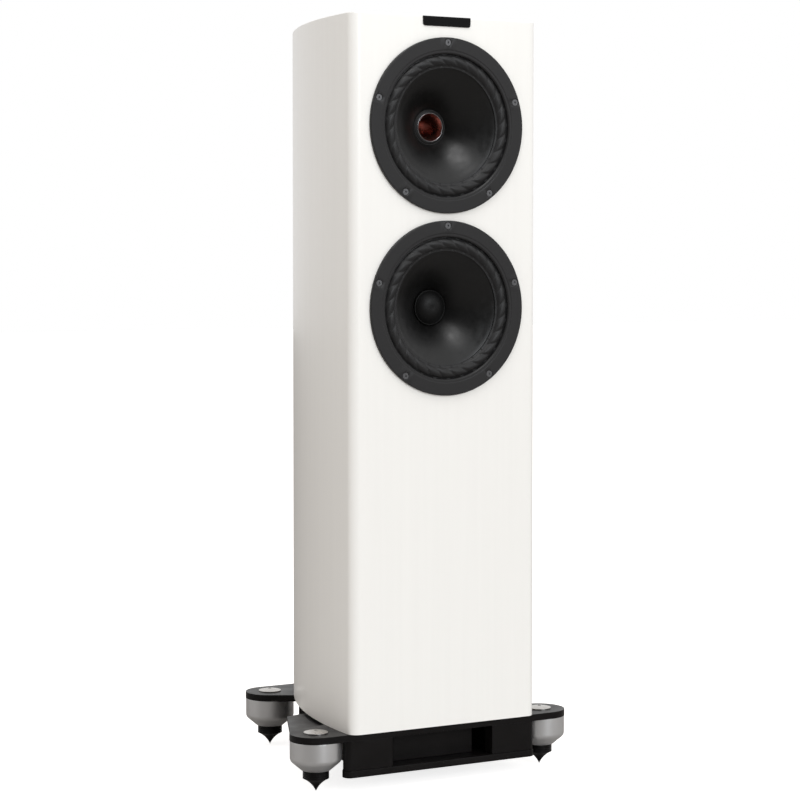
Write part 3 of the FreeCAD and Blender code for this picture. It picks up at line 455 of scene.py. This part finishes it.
# Polyester wadding: white and fluffy.
WADDING = Finish("polyester_wadding", "DCD9D2", "C9C5BC", 0.95, patch_mm=18, grit_mm=3, grit_depth_mm=1.2)
# Aluminium plate with a satin black powder coat: soft sheen and a slight orange peel.
POWDER_COAT = Finish("satin_black_powder_coat", "100F0F", "151313", 0.36, ior=1.48, specular=0.16,
                     patch_mm=35, grit_mm=1.6, grit_depth_mm=0.03, roughness_swing=0.06)
# Steel screws, blackened, with an oily sheen: their colour is raised to mid grey as a painted highlight, so
# the heads show a bright rim.
BLACKENED_STEEL = Finish("blackened_steel", "8A8A8C", "6E6E70", 0.30, metallic=1.0, patch_mm=4, grit_mm=0.6)
# Aluminium, turned and left bright: fine lines round it draw its real reflections upright, and light and
# dark upright streaks are painted into its colour as painted reflection of the room.
TURNED_ALUMINIUM = Turned("turned_aluminium", "F0EFEE", "8A8988", 0.16, metallic=1.0, anisotropy=0.85,
                          patch_mm=4, grit_depth_mm=0.01)
# Nickel plate over brass, bead-blasted: soft silver.
SATIN_NICKEL = Finish("satin_nickel", "CFCCC8", "BDBAB6", 0.30, metallic=1.0, patch_mm=8, grit_mm=0.5,
                      grit_depth_mm=0.012)
# Steel spikes, turned and black-chromed: dark with a soft metallic glint, their two near-black tones laid in
# faint upright streaks of painted reflection.
BLACK_CHROME = Turned("black_chromed_steel", "121112", "0D0C0D", 0.34, metallic=0.5, patch_mm=10,
                      grit_depth_mm=0.03, line_mm=0.8)
# Die-cast trim with baked satin paint: charcoal black with a fine grain.
BAKED_PAINT = Finish("baked_satin_paint", "2A2A2B", "252526", 0.42, ior=1.5, specular=0.25,
                     patch_mm=40, grit_mm=0.9, grit_depth_mm=0.02)
# Cast aluminium, powder coated: black, slightly rough.
CAST_BLACK = Finish("coated_casting", "161617", "1D1D1E", 0.6, patch_mm=12, grit_mm=1.4, grit_depth_mm=0.12)
# Nitrile rubber, moulded: soft black with a dull sheen.
RUBBER = Finish("moulded_nitrile_rubber", "1B1B1C", "202021", 0.50, ior=1.52, specular=0.35,
                patch_mm=20, grit_mm=0.8, grit_depth_mm=0.02, roughness_swing=0.07)
# Paper pulp pressed with a doped face: matt black, long fibres, a broad soft glow.
DOPED_PAPER = Finish("doped_paper_pulp", "070707", "0A0A0A", 0.37, ior=1.5, specular=0.5,
                     patch_mm=10, grit_mm=1.2, grit_depth_mm=0.045, roughness_swing=0.06)
# Moulded dust cap, flocked: black, duller than the cone.
DULL_PAPER = Finish("flocked_dust_cap", "0B0B0B", "0E0E0E", 0.5, ior=1.5, specular=0.25,
                    patch_mm=8, grit_mm=1.2, grit_depth_mm=0.045)
# Aluminium former, anodised black: dark with a soft sheen.
FORMER = Finish("black_anodised_former", "141312", "1A1817", 0.4, patch_mm=12, grit_mm=1)
# Cotton-blend spider, dipped in resin: tan cloth.
SPIDER_CLOTH = Woven("resin_dipped_cloth", "B08A4E", "9C783F", 0.8, grit_depth_mm=0.25)
# Ferrite, pressed and fired: dark grey ceramic.
FERRITE = Finish("fired_ferrite", "2B2B2E", "232326", 0.6, patch_mm=6, grit_mm=0.7, grit_depth_mm=0.06)
# Steel, zinc plated: cool silver with a faint haze.
ZINC_PLATE = Finish("zinc_plated_steel", "B9BCC0", "A3A7AC", 0.35, metallic=1.0, patch_mm=8, grit_mm=1)
# Aluminium ring, diamond-turned: a thin bright line of light.
BRIGHT_RING = Finish("diamond_turned_ring", "A9A9AB", "9C9C9F", 0.20, metallic=1.0, patch_mm=5, grit_mm=2,
                     grit_depth_mm=0.004, roughness_swing=0.02)
# Aluminium throat, anodised copper red: warm metal whose flare mirrors the room.
COPPER_ANODISE = Finish("copper_anodised_aluminium", "C4958A", "94665E", 0.30, metallic=1.0, patch_mm=9,
                        grit_mm=3, grit_depth_mm=0.02)
# Binding posts, gold flash over brass.
GOLD_FLASH = Finish("gold_flashed_brass", "CFAE6B", "C09C58", 0.25, metallic=1.0, patch_mm=6, grit_mm=1)
# Polycarbonate knobs: clear red and clear black read as deep glossy colour.
RED_KNOB = Finish("red_polycarbonate", "8E1212", "7C0E0E", 0.22, ior=1.58, patch_mm=8, grit_mm=3)
BLACK_KNOB = Finish("black_polycarbonate", "101011", "151516", 0.22, ior=1.58, patch_mm=8, grit_mm=3)

CAD_FINISHES: dict[str, Finish] = {
    "white_lacquer": LACQUER, "raw_board": FIBREBOARD, "black_moulding": MOULDED_ABS,
    "badge_black": ACRYLIC, "circuit_board": CIRCUIT_BOARD, "copper_winding": COPPER_WIRE,
    "wadding": WADDING,
    "black_plinth": POWDER_COAT, "black_screw": BLACKENED_STEEL, "turned_aluminium": TURNED_ALUMINIUM,
    "satin_cap": SATIN_NICKEL, "black_spike": BLACK_CHROME, "rim_black": BAKED_PAINT,
    "cast_chassis": CAST_BLACK, "black_rubber": RUBBER, "black_cone": DOPED_PAPER,
    "former_paper": FORMER, "spider_cloth": SPIDER_CLOTH, "ferrite": FERRITE,
    "plated_steel": ZINC_PLATE, "throat_silver": BRIGHT_RING, "throat_copper": COPPER_ANODISE,
    "post_metal": GOLD_FLASH, "knob_red": RED_KNOB, "knob_black": BLACK_KNOB,
}


def dress(piece: bpy.types.Object, finish: Finish) -> None:
    """Gives a piece one finish all over."""
    piece.data.materials.clear()
    piece.data.materials.append(finish.material())


def fit_out(piece: bpy.types.Object, finish: Finish, body: str, slot: str, *nodes: str) -> None:
    """Dresses a finished piece, rides it on a body and lets it stand for CAD nodes.

    Args:
        piece: the finished piece.
        finish: its finish.
        body: the CAD body that it moves with.
        slot: the record's material slot; not used.
        nodes: the CAD nodes that it stands for.
    """
    dress(piece, finish)
    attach(piece, body)
    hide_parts(*nodes)
    LOG.info("%s: %d faces, rides on %s", piece.name, len(piece.data.polygons), body)


def dress_cad_nodes() -> None:
    """Gives every CAD node the finish of its material slot in the record."""
    for entry in frame["record"]["subparts"]:
        dress(frame["nodes"][entry["node"]], CAD_FINISHES[entry["material_slot"]])


# ---- sub-assemblies ----

class Corner(Enum):
    """The plinth's four corners, named as a listener facing the speaker sees them."""
    FRONT_LEFT = "front_left"
    FRONT_RIGHT = "front_right"
    REAR_LEFT = "rear_left"
    REAR_RIGHT = "rear_right"


@dataclass
class Foot:
    """A turned housing under its lug, the domed adjuster on top and the spike that it drives."""
    corner: Corner
    shoulder_height: float = 16 * MM
    shoulder_blend: float = 4 * MM
    shoulder_bow: float = 0.8 * MM
    shoulder_steps: int = 5
    housing_easing: float = 0.5 * MM
    bottom_radius: float = 21 * MM
    bore_radius: float = 13.1 * MM
    bore_height: float = 19.5 * MM
    spigot_radius: float = 9 * MM
    shaft_radius: float = 6 * MM
    shaft_gap: float = 0.1 * MM
    groove: float = 0.5 * MM
    grooves: int = 3
    spike_bow: float = 2.5 * MM
    spike_steps: int = 12
    spike_gap: float = 0.1 * MM
    seat_gap: float = 0.02 * MM
    thread_depth: float = 14 * MM
    thread_play: float = 1 * MM
    key_radius: float = 2.9 * MM
    key_depth: float = 3 * MM
    cap_edge: float = 1.2 * MM
    cap_gap: float = 0.3 * MM
    cap_lift: float = 0.1 * MM
    cap_bow: float = 0.65 * MM
    cap_steps: int = 10
    cap_easing: float = 0.25 * MM
    small_ring: int = 72

    def __post_init__(self) -> None:
        """Reads the housing's, adjuster's and spike's boxes from the frame."""
        word = self.corner.value
        low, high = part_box(f"{word}_foot")
        self.housing_low, self.housing_high = low.z, high.z
        self.radius = (high.x - low.x) / 2
        self.middle = Vector(((low.x + high.x) / 2, (low.y + high.y) / 2, 0))
        self.cap_low, self.cap_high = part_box(f"{word}_adjuster")
        self.spike_low, self.spike_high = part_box(f"{word}_spike")
        self.plate_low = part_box("plinth_top_plate")[0].z

    def build(self) -> None:
        """Builds the three pieces."""
        self.build_housing()
        self.build_adjuster()
        self.build_spike()

    def build_housing(self) -> None:
        """The housing: a straight wall, a blended shoulder and a taper, with its spigot above."""
        low, top = self.housing_low, self.plate_low
        corner = (self.radius, low + self.shoulder_height - self.shoulder_blend / 2)
        slope = (Vector((self.bottom_radius, low)) - Vector(corner)).normalized() * self.shoulder_blend
        outline = [(self.bore_radius, low), (self.bottom_radius, low),
                   (corner[0] + slope.x, corner[1] + slope.y),
                   *arc((corner[0] + slope.x, corner[1] + slope.y),
                        (corner[0], corner[1] + self.shoulder_blend), -self.shoulder_bow,
                        self.shoulder_steps),
                   (self.radius, top), (self.spigot_radius, top), (self.spigot_radius, self.housing_high),
                   (self.shaft_radius + self.shaft_gap, self.housing_high),
                   (self.shaft_radius + self.shaft_gap, low + self.bore_height),
                   (self.bore_radius, low + self.bore_height)]
        piece = turned(f"{self.corner.value}_housing", self.middle, UPWARD, outline)
        ease(piece, self.housing_easing)
        fit_out(piece, TURNED_ALUMINIUM, "cabinet", "turned_aluminium", f"{self.corner.value}_foot")

    def build_adjuster(self) -> None:
        """The adjuster: a low domed cap with a hexagon socket, on its screw."""
        radius = (self.cap_high.x - self.cap_low.x) / 2
        top = self.cap_high.z + self.cap_lift
        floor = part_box("plinth_top_plate")[1].z + self.cap_gap
        screw = self.shaft_radius - self.thread_play
        edge = (radius, floor + self.cap_edge)
        collar = self.housing_low + self.bore_height
        outline = [(0, self.cap_low.z), (screw, self.cap_low.z), (screw, collar),
                   (self.shaft_radius, collar), (self.shaft_radius, floor),
                   (radius, floor), edge, *arc(edge, (0, top), -self.cap_bow, self.cap_steps)]
        piece = turned(f"{self.corner.value}_cap", self.middle, UPWARD, outline, around=self.small_ring)
        bpy.ops.object.select_all(action="DESELECT")
        bpy.ops.mesh.primitive_cylinder_add(vertices=6, radius=self.key_radius, depth=self.key_depth * 2,
                                            location=self.middle + UPWARD * top)
        cutter = bpy.context.object
        apply_modifier(piece, "BOOLEAN", object=cutter, operation="DIFFERENCE", solver="EXACT")
        bpy.data.objects.remove(cutter)
        ease(piece, self.cap_easing)
        word = self.corner.value
        fit_out(piece, SATIN_NICKEL, f"{word}_adjuster_body", "satin_cap", f"{word}_adjuster")

    def build_spike(self) -> None:
        """The spike: a grooved neck over a hollow-sided point, with its threaded socket above."""
        radius = (self.spike_high.x - self.spike_low.x) / 2
        top = self.spike_high.z
        neck_low, neck_high = radius, self.housing_low
        outline = [(0, self.spike_low.z),
                   *arc((0, self.spike_low.z), (radius, neck_low), self.spike_bow, self.spike_steps)]
        pitch = (neck_high - neck_low) / (self.grooves + 1)
        for k in range(1, self.grooves + 1):
            middle = neck_low + k * pitch
            outline += [(radius, middle - self.groove), (radius - self.groove, middle),
                        (radius, middle + self.groove)]
        shank, shoulder = self.bore_radius - self.spike_gap, neck_high - self.seat_gap
        socket = top - self.thread_depth
        outline += [(radius, shoulder), (shank, shoulder), (shank, top), (self.shaft_radius, top),
                    (self.shaft_radius, socket), (0, socket)]
        word = self.corner.value
        piece = turned(f"{word}_point", self.middle, UPWARD, outline, around=self.small_ring)
        smooth(piece, 25)
        fit_out(piece, BLACK_CHROME, f"{word}_spike_body", "black_spike", f"{word}_spike")


@dataclass
class Plinth:
    """The lugged top plate, the wall with its window, the diffuser and the base plate."""
    easing: float = 0.9 * MM

    def build(self) -> None:
        """Eases the edges of each board."""
        for node in ("plinth_top_plate", "plinth_wall", "bass_diffuser", "plinth_base_plate"):
            piece = softened(node, f"{node}_coated", self.easing)
            fit_out(piece, POWDER_COAT, "cabinet", "black_plinth", node)


@dataclass
class Driver:
    """One cone driver: trim ring, ribbed surround and cone, all on the driver's axis."""
    name: str
    ring_proud: float = 5 * MM
    lip_width: float = 5 * MM
    lip_drop: float = 0.6 * MM
    inner_chamfer: float = 1.6 * MM
    outer_round: float = 1.4 * MM
    outer_bow: float = 0.35 * MM
    round_steps: int = 4
    ring_easing: float = 0.3 * MM
    ring_around: int = 160
    screws: int = 5
    screw_inset: float = 7.5 * MM
    counterbore: float = 4.9 * MM
    counterbore_depth: float = 2.9 * MM
    counterbore_chamfer: float = 0.5 * MM
    shank_clearance: float = 2.6 * MM
    cut_over: float = 2 * MM
    cut_under: float = 1 * MM
    cutter_around: int = 28
    surround_wall: float = 1.4 * MM
    surround_seat: float = 0.2 * MM
    surround_rise: float = 4.8 * MM
    bond_width: float = 3 * MM
    roll_width: float = 15 * MM
    land_width: float = 6 * MM
    ribs: int = 28
    rib_depth: float = 3.0 * MM
    rib_skew: float = 0.8
    rib_lean: float = 0.75
    rib_fade: float = 0.7
    steps_per_rib: int = 12
    roll_steps: int = 14
    rim_gap: float = 2 * MM
    cone_wall: float = 1.3 * MM
    cone_bow: float = 5.05 * MM
    cone_steps: int = 26
    cone_around: int = 128
    neck: float = 25.8 * MM
    neck_lip: float = 1 * MM
    cone_line: float = 9 * MM
    cone_line_depth: float = 0.35 * MM

    def __post_init__(self) -> None:
        """Reads the ring's, surround's and cone's boxes from the frame."""
        low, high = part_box(f"{self.name}_trim_ring")
        self.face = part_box("front_baffle")[0].y
        self.rim_radius = (high.x - low.x) / 2
        self.middle = Vector(((low.x + high.x) / 2, self.face, (low.z + high.z) / 2))
        low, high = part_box(f"{self.name}_surround")
        self.land_out = (high.x - low.x) / 2
        self.roll_out = self.land_out - self.land_width
        self.roll_in = self.roll_out - self.roll_width
        self.rim_inner = self.roll_out + self.rim_gap
        low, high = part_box(f"{self.name}_cone")
        self.cone_radius = (high.x - low.x) / 2
        self.cone_depth = high.y - self.face
        self.cone_front = low.y - self.face

    @property
    def cone_body(self) -> str:
        """The body that the cone rides on."""
        return f"{self.name}_cone_assembly"

    def build(self) -> None:
        """Builds the pieces that show from the front."""
        self.build_ring()
        self.build_surround()
        self.build_cone()

    def build_ring(self) -> None:
        """The trim ring with a stepped inner lip and a chamfered counterbore round each screw."""
        proud, inner, outer = self.ring_proud, self.rim_inner, self.rim_radius
        lip = proud - self.lip_drop
        outline = [(inner, 0), (outer, 0), (outer, proud - self.outer_round),
                   *arc((outer, proud - self.outer_round), (outer - self.outer_round, proud),
                        -self.outer_bow, self.round_steps),
                   (inner + self.lip_width + self.lip_drop, proud), (inner + self.lip_width, lip),
                   (inner + self.inner_chamfer, lip), (inner, lip - self.inner_chamfer)]
        ring = turned(f"{self.name}_ring", self.middle, FORWARD, outline, around=self.ring_around)
        ease(ring, self.ring_easing)
        bore, lead = self.counterbore, self.counterbore_chamfer
        floor = proud - self.counterbore_depth
        hole = [(0, floor), (bore, floor), (bore, proud - lead), (bore + 2 * lead, proud + lead),
                (bore + 2 * lead, proud + self.cut_over), (0, proud + self.cut_over)]
        shank = [(0, -self.cut_under), (self.shank_clearance, -self.cut_under),
                 (self.shank_clearance, proud), (0, proud)]
        for k in range(self.screws):
            angle = math.radians(90 + k * 360 / self.screws)
            reach = self.rim_radius - self.screw_inset
            place = self.middle + Vector((math.cos(angle), 0, math.sin(angle))) * reach
            for outline in (hole, shank):
                cutter = turned("cutter", place, FORWARD, outline, around=self.cutter_around)
                apply_modifier(ring, "BOOLEAN", object=cutter, operation="DIFFERENCE", solver="EXACT")
                bpy.data.objects.remove(cutter)
        smooth(ring, 30)
        fit_out(ring, BAKED_PAINT, "cabinet", "rim_black", f"{self.name}_trim_ring")

    def rib_height(self, across: float, angle: float) -> float:
        """How far the rubber sinks between ribs at a place on the roll.

        Args:
            across: 0 at the roll's inner edge to 1 at its outer edge.
            angle: round the axis, in radians.
        Returns:
            The sink, from 0 on a crest.
        """
        phase = (self.ribs * angle / math.tau - self.rib_skew * across) % 1
        crest = math.sqrt(max(0.0, 1 - (2 * phase ** self.rib_lean - 1) ** 2))
        fade = math.sin(math.pi * min(1.0, max(0.0, across))) ** self.rib_fade
        return self.rib_depth * (1 - crest) * fade

    def build_surround(self) -> None:
        """The half-roll surround, with slanting ribs like the lay of a rope."""
        top, wall = -self.surround_seat, self.surround_wall
        inner, outer = self.roll_in, self.roll_out
        front = [(inner - self.bond_width, top), (inner, top),
                 *arc((inner, top), (outer, top), self.surround_rise, self.roll_steps),
                 (self.land_out, top)]
        back = [(radius, height - wall) for radius, height in reversed(front)]
        piece = turned(f"{self.name}_rubber_edge", self.middle, FORWARD, front + back,
                       around=self.ribs * self.steps_per_rib)
        for vertex in piece.data.vertices:
            offset = vertex.co - self.middle
            radius, angle = math.hypot(offset.x, offset.z), math.atan2(offset.z, offset.x)
            across = (radius - inner) / (outer - inner)
            vertex.co -= FORWARD * self.rib_height(across, angle)
        smooth(piece, 60)
        dress(piece, RUBBER)
        far = self.middle + UPWARD * self.roll_out
        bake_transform(piece, "cabinet", self.cone_body, start=far, end=self.middle + UPWARD * self.roll_in)
        follow = piece.data.attributes["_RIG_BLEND"]
        for vertex in piece.data.vertices:
            offset = vertex.co - self.middle
            across = (outer - math.hypot(offset.x, offset.z)) / (outer - inner)
            share = min(1.0, max(0.0, across))
            follow.data[vertex.index].value = share * share * (3 - 2 * share)
        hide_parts(f"{self.name}_surround")
        LOG.info("%s: %d faces, blends to %s", piece.name, len(piece.data.polygons), self.cone_body)

    def build_cone(self) -> None:
        """The flared cone, with the fine line where the surround's bond ends."""
        rim = (self.cone_radius, -self.cone_front)
        neck = (self.neck, self.neck_lip - self.cone_depth)
        face = [rim, *arc(rim, neck, -self.cone_bow, self.cone_steps)]
        line_radius = self.cone_radius - self.cone_line
        front = []
        for radius, height in face:
            front.append((radius, height + (self.cone_line_depth if radius > line_radius else 0)))
        front[0] = rim
        back = [(radius, height - self.cone_wall) for radius, height in reversed(face)]
        piece = turned(f"{self.name}_paper_cone", self.middle, FORWARD, front + back,
                       around=self.cone_around)
        smooth(piece, 30)
        fit_out(piece, DOPED_PAPER, self.cone_body, "black_cone", f"{self.name}_cone")


@dataclass
class CoaxialDriver(Driver):
    """The upper driver, with a collar and a bright bead round the mouth of the copper throat."""
    bead_out: float = 21.1 * MM
    bead_width: float = 0.9 * MM
    bead_gap: float = 0.1 * MM
    bead_shoulder: float = 0.6 * MM
    bead_bow: float = 0.4 * MM
    bead_steps: int = 8
    brim: float = 0.85 * MM
    brim_height: float = 0.6 * MM
    collar_lead: float = 0.4 * MM
    collar_drop: float = 0.8 * MM
    collar_chamfer: float = 0.1 * MM
    seat_depth: float = 3 * MM
    exit_radius: float = 12.5 * MM
    flare_depth: float = 19 * MM
    flare_narrow: float = 14.0 * MM
    flare_bow: float = 1.3 * MM
    flare_steps: int = 16
    throat_gap: float = 0.05 * MM
    lip_chamfer: float = 0.4 * MM
    fine_ring: int = 128

    def build(self) -> None:
        """Builds the driver, the bead, its collar and the throat."""
        super().build()
        low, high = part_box("throat_ring")
        self.bead_in = self.bead_out - self.bead_width
        self.build_bead(self.face - high.y, self.face - low.y)
        self.build_collar((high.x - low.x) / 2, self.face - high.y, self.face - low.y)
        self.build_throat()

    def build_bead(self, back: float, front: float) -> None:
        """The bright bead.

        Args:
            back: its back's height on the driver's axis.
            front: its front's height.
        """
        inner, outer = self.bead_in, self.bead_out
        side = front - self.bead_shoulder
        outline = [(inner, back), (outer, back), (outer, side),
                   *arc((outer, side), (inner, side), -self.bead_bow, self.bead_steps)]
        bead = turned("throat_bright_bead", self.middle, FORWARD, outline, around=self.fine_ring)
        smooth(bead, 50)
        fit_out(bead, BRIGHT_RING, "cabinet", "throat_silver", "throat_ring")

    def build_collar(self, outer: float, back: float, front: float) -> None:
        """The black collar that carries the bead, sloping away to the cone.

        Args:
            outer: its outer radius.
            back: its back's height on the driver's axis.
            front: the bead's front's height.
        """
        inner = self.bead_out + self.bead_gap / 2
        brim, top = outer + self.brim, front - self.collar_drop
        outline = [(inner, back), (brim, back), (brim, back + self.brim_height),
                   (inner + self.collar_lead, top), (inner, top - self.collar_chamfer)]
        collar = turned("throat_collar", self.middle, FORWARD, outline, around=self.fine_ring)
        smooth(collar, 40)
        fit_out(collar, MOULDED_ABS, "cabinet", "black_moulding", "throat_ring")

    def build_throat(self) -> None:
        """The flared throat, whose lip fills the bead."""
        low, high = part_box("treble_throat")
        outer, lip = (high.x - low.x) / 2 - self.throat_gap, self.bead_in - self.bead_gap
        back, front = self.face - high.y, self.face - low.y
        seat, rim = front - self.seat_depth, (lip - self.lip_chamfer, front)
        narrow = (self.flare_narrow, front - self.flare_depth)
        outline = [(self.exit_radius, back), (outer, back), (outer, seat), (lip, seat),
                   (lip, front - self.lip_chamfer), rim,
                   *arc(rim, narrow, -self.flare_bow, self.flare_steps)]
        throat = turned("flared_throat", self.middle, FORWARD, outline, around=self.fine_ring)
        smooth(throat, 40)
        fit_out(throat, COPPER_ANODISE, "cabinet", "throat_copper", "treble_throat")


@dataclass
class BassDriver(Driver):
    """The lower driver, with a domed dust cap on the cone's neck."""
    cap_wall: float = 1 * MM
    ledge: float = 1.8 * MM
    bead_rise: float = 0.7 * MM
    bead_drop: float = 0.3 * MM
    bead_steps: int = 6
    skirt: float = 2 * MM
    dome_bow: float = 3.6 * MM
    dome_steps: int = 12

    def build(self) -> None:
        """Builds the driver and its dust cap."""
        super().build()
        low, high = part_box("dust_cap")
        radius = (high.x - low.x) / 2
        back, top = self.face - high.y, self.face - low.y
        seat, dome, wall = back + self.skirt, radius - self.ledge, self.cap_wall
        dome_line = [(0, top), *arc((0, top), (dome, seat), self.dome_bow, self.dome_steps)]
        bead = arc((dome, seat), (radius, seat - self.bead_drop), self.bead_rise, self.bead_steps)
        inside = [(max(0.0, r - wall), h - wall) for r, h in reversed(dome_line)]
        outline = [*dome_line, *bead, (radius, back), (radius - wall, back), *inside]
        cap = turned("domed_dust_cap", self.middle, FORWARD, outline)
        smooth(cap, 30)
        fit_out(cap, DULL_PAPER, self.cone_body, "black_cone", "dust_cap")


@dataclass
class Terminals:
    """The plate on the back with four fluted binding-post knobs."""
    easing: float = 0.4 * MM

    def build(self) -> None:
        """Eases the plate's and the knobs' edges."""
        plate = softened("terminal_plate", "terminal_panel", self.easing)
        fit_out(plate, MOULDED_ABS, "cabinet", "black_moulding", "terminal_plate")
        for level in ("upper", "lower"):
            for side, finish, slot in (("left", RED_KNOB, "knob_red"), ("right", BLACK_KNOB, "knob_black")):
                node = f"{level}_{side}_knob"
                knob = softened(node, f"{node}_cap", self.easing / 2)
                fit_out(knob, finish, f"{node}_body", slot, node)


@dataclass
class Badge:
    """The bare badge that folds over the top front edge."""
    easing: float = 0.4 * MM

    def build(self) -> None:
        """Eases the badge's edges."""
        badge = softened("badge_plate", "bare_badge", self.easing)
        fit_out(badge, ACRYLIC, "cabinet", "badge_black", "badge_plate")


def facing(way: Vector) -> Euler:
    """Turns a camera's or a light's view along a direction.

    Args:
        way: the direction to look in.
    Returns:
        The rotation that points -Z along it, with Y up.
    """
    return way.to_track_quat("-Z", "Y").to_euler()


@dataclass
class Studio:
    """The camera, a pale floor, a white surround and soft lights."""
    camera_place: tuple[float, float, float] = (-1.6959, -3.0939, 0.7610)
    yaw: float = 29.243
    pitch: float = 2.460
    lens: float = 104.3
    shift: float = -0.05
    sensor: float = 36
    floor_size: float = 40
    floor_lift: float = 0.78
    floor_matt: str = "EDEDED"
    floor_mirrored: str = "969696"
    room_colour: str = "FFF7F0"
    world_level: float = 0.65
    open_level: float = 0.95
    wall_level: float = 0.10
    wall_from: float = 0.20
    wall_full: float = 0.80
    key_level: float = 1.12
    key_spread: float = 30
    key_colour: str = "F7FBFF"
    key_way: tuple[float, float, float] = (-0.12, 0.94, -0.34)
    box_level: float = 11.0
    box_size: float = 0.9
    box_place: tuple[float, float, float] = (-0.25, -0.75, 2.3)
    box_target: tuple[float, float, float] = (0, -0.1, 0.7)

    def build(self) -> None:
        """Sets up everything that isn't the object."""
        self.set_view()
        self.add_camera()
        self.add_floor()
        self.set_world()
        self.add_lights()

    def set_view(self) -> None:
        """Leaves colours as they are written."""
        bpy.context.scene.view_settings.view_transform = "Standard"

    def add_camera(self) -> None:
        """Stands the camera to the front left at mid height, a little pitched down."""
        yaw, pitch = math.radians(self.yaw), math.radians(self.pitch)
        look = Vector((math.sin(yaw) * math.cos(pitch), math.cos(yaw) * math.cos(pitch), -math.sin(pitch)))
        bpy.ops.object.camera_add(location=self.camera_place, rotation=facing(look))
        camera = bpy.context.object
        camera.data.lens, camera.data.sensor_width = self.lens, self.sensor
        camera.data.shift_y = self.shift
        bpy.context.scene.camera = camera

    def add_floor(self) -> None:
        """A pale floor that reads white to the camera where no shadow falls."""
        bpy.ops.object.select_all(action="DESELECT")
        bpy.ops.mesh.primitive_plane_add(size=self.floor_size)
        floor = bpy.context.object
        floor.name = "floor"
        made = bpy.data.materials.new("pale_floor")
        made.use_nodes = True
        tree = made.node_tree
        tree.nodes.clear()
        rays = add_node(tree, "ShaderNodeLightPath")
        shade = add_node(tree, "ShaderNodeMix", {
            "Factor": rays.outputs["Is Glossy Ray"], 6: linear(self.floor_matt),
            7: linear(self.floor_mirrored)}, data_type="RGBA")
        matt = add_node(tree, "ShaderNodeBsdfDiffuse", {"Color": shade.outputs[2]})
        lift = add_node(tree, "ShaderNodeMath", {0: rays.outputs["Is Camera Ray"], 1: self.floor_lift},
                        operation="MULTIPLY")
        glow = add_node(tree, "ShaderNodeEmission", {"Color": WHITE, "Strength": lift.outputs[0]})
        both = add_node(tree, "ShaderNodeAddShader", {0: matt.outputs[0], 1: glow.outputs[0]})
        add_node(tree, "ShaderNodeOutputMaterial", {"Surface": both.outputs[0]})
        floor.data.materials.append(made)

    def set_world(self) -> None:
        """White to the camera, a plain warm level to matt surfaces, and a dark wall in reflections."""
        world = bpy.data.worlds.new("studio")
        bpy.context.scene.world = world
        world.use_nodes = True
        tree = world.node_tree
        tree.nodes.clear()
        rays = add_node(tree, "ShaderNodeLightPath")
        way = add_node(tree, "ShaderNodeTexCoord").outputs["Generated"]
        wall = Vector((*self.camera_place[:2], 0)).normalized()
        towards = add_node(tree, "ShaderNodeVectorMath", {0: way, 1: wall}, operation="DOT_PRODUCT")
        level = add_node(tree, "ShaderNodeMapRange", {
            "Value": towards.outputs["Value"], "From Min": self.wall_from, "From Max": self.wall_full,
            "To Min": self.open_level, "To Max": self.wall_level}, interpolation_type="SMOOTHSTEP")
        plain = add_node(tree, "ShaderNodeBackground", {"Color": linear(self.room_colour),
                                                        "Strength": self.world_level})
        mirror = add_node(tree, "ShaderNodeBackground", {"Color": WHITE, "Strength": level.outputs[0]})
        white = add_node(tree, "ShaderNodeBackground", {"Color": WHITE, "Strength": 1.0})
        bent = add_node(tree, "ShaderNodeMath", {
            0: rays.outputs["Is Glossy Ray"], 1: rays.outputs["Is Transmission Ray"]}, operation="MAXIMUM")
        first = add_node(tree, "ShaderNodeMixShader", {0: bent.outputs[0], 1: plain.outputs[0],
                                                       2: mirror.outputs[0]})
        last = add_node(tree, "ShaderNodeMixShader", {0: rays.outputs["Is Camera Ray"],
                                                      1: first.outputs[0], 2: white.outputs[0]})
        add_node(tree, "ShaderNodeOutputWorld", {"Surface": last.outputs[0]})

    def add_lights(self) -> None:
        """A broad key from the front, a little to the right, and a softbox overhead."""
        bpy.ops.object.light_add(type="SUN", rotation=facing(Vector(self.key_way)))
        key = bpy.context.object
        key.data.energy, key.data.angle = self.key_level, math.radians(self.key_spread)
        key.data.color = linear(self.key_colour)[:3]
        place = Vector(self.box_place)
        bpy.ops.object.light_add(type="AREA", location=place,
                                 rotation=facing(Vector(self.box_target) - place))
        box = bpy.context.object
        box.data.energy, box.data.size = self.box_level, self.box_size


def main() -> None:
    """Builds the loudspeaker's looks piece by piece."""
    logging.basicConfig(level=logging.INFO, format="%(message)s")
    dress_cad_nodes()
    builders: list[Callable[[], None]] = [CoaxialDriver("upper").build, BassDriver("lower").build,
                                          Plinth().build, Badge().build, Terminals().build]
    builders += [Foot(corner).build for corner in Corner]
    for build in builders:
        build()
    Studio().build()


if __name__ == "__main__":
    main()
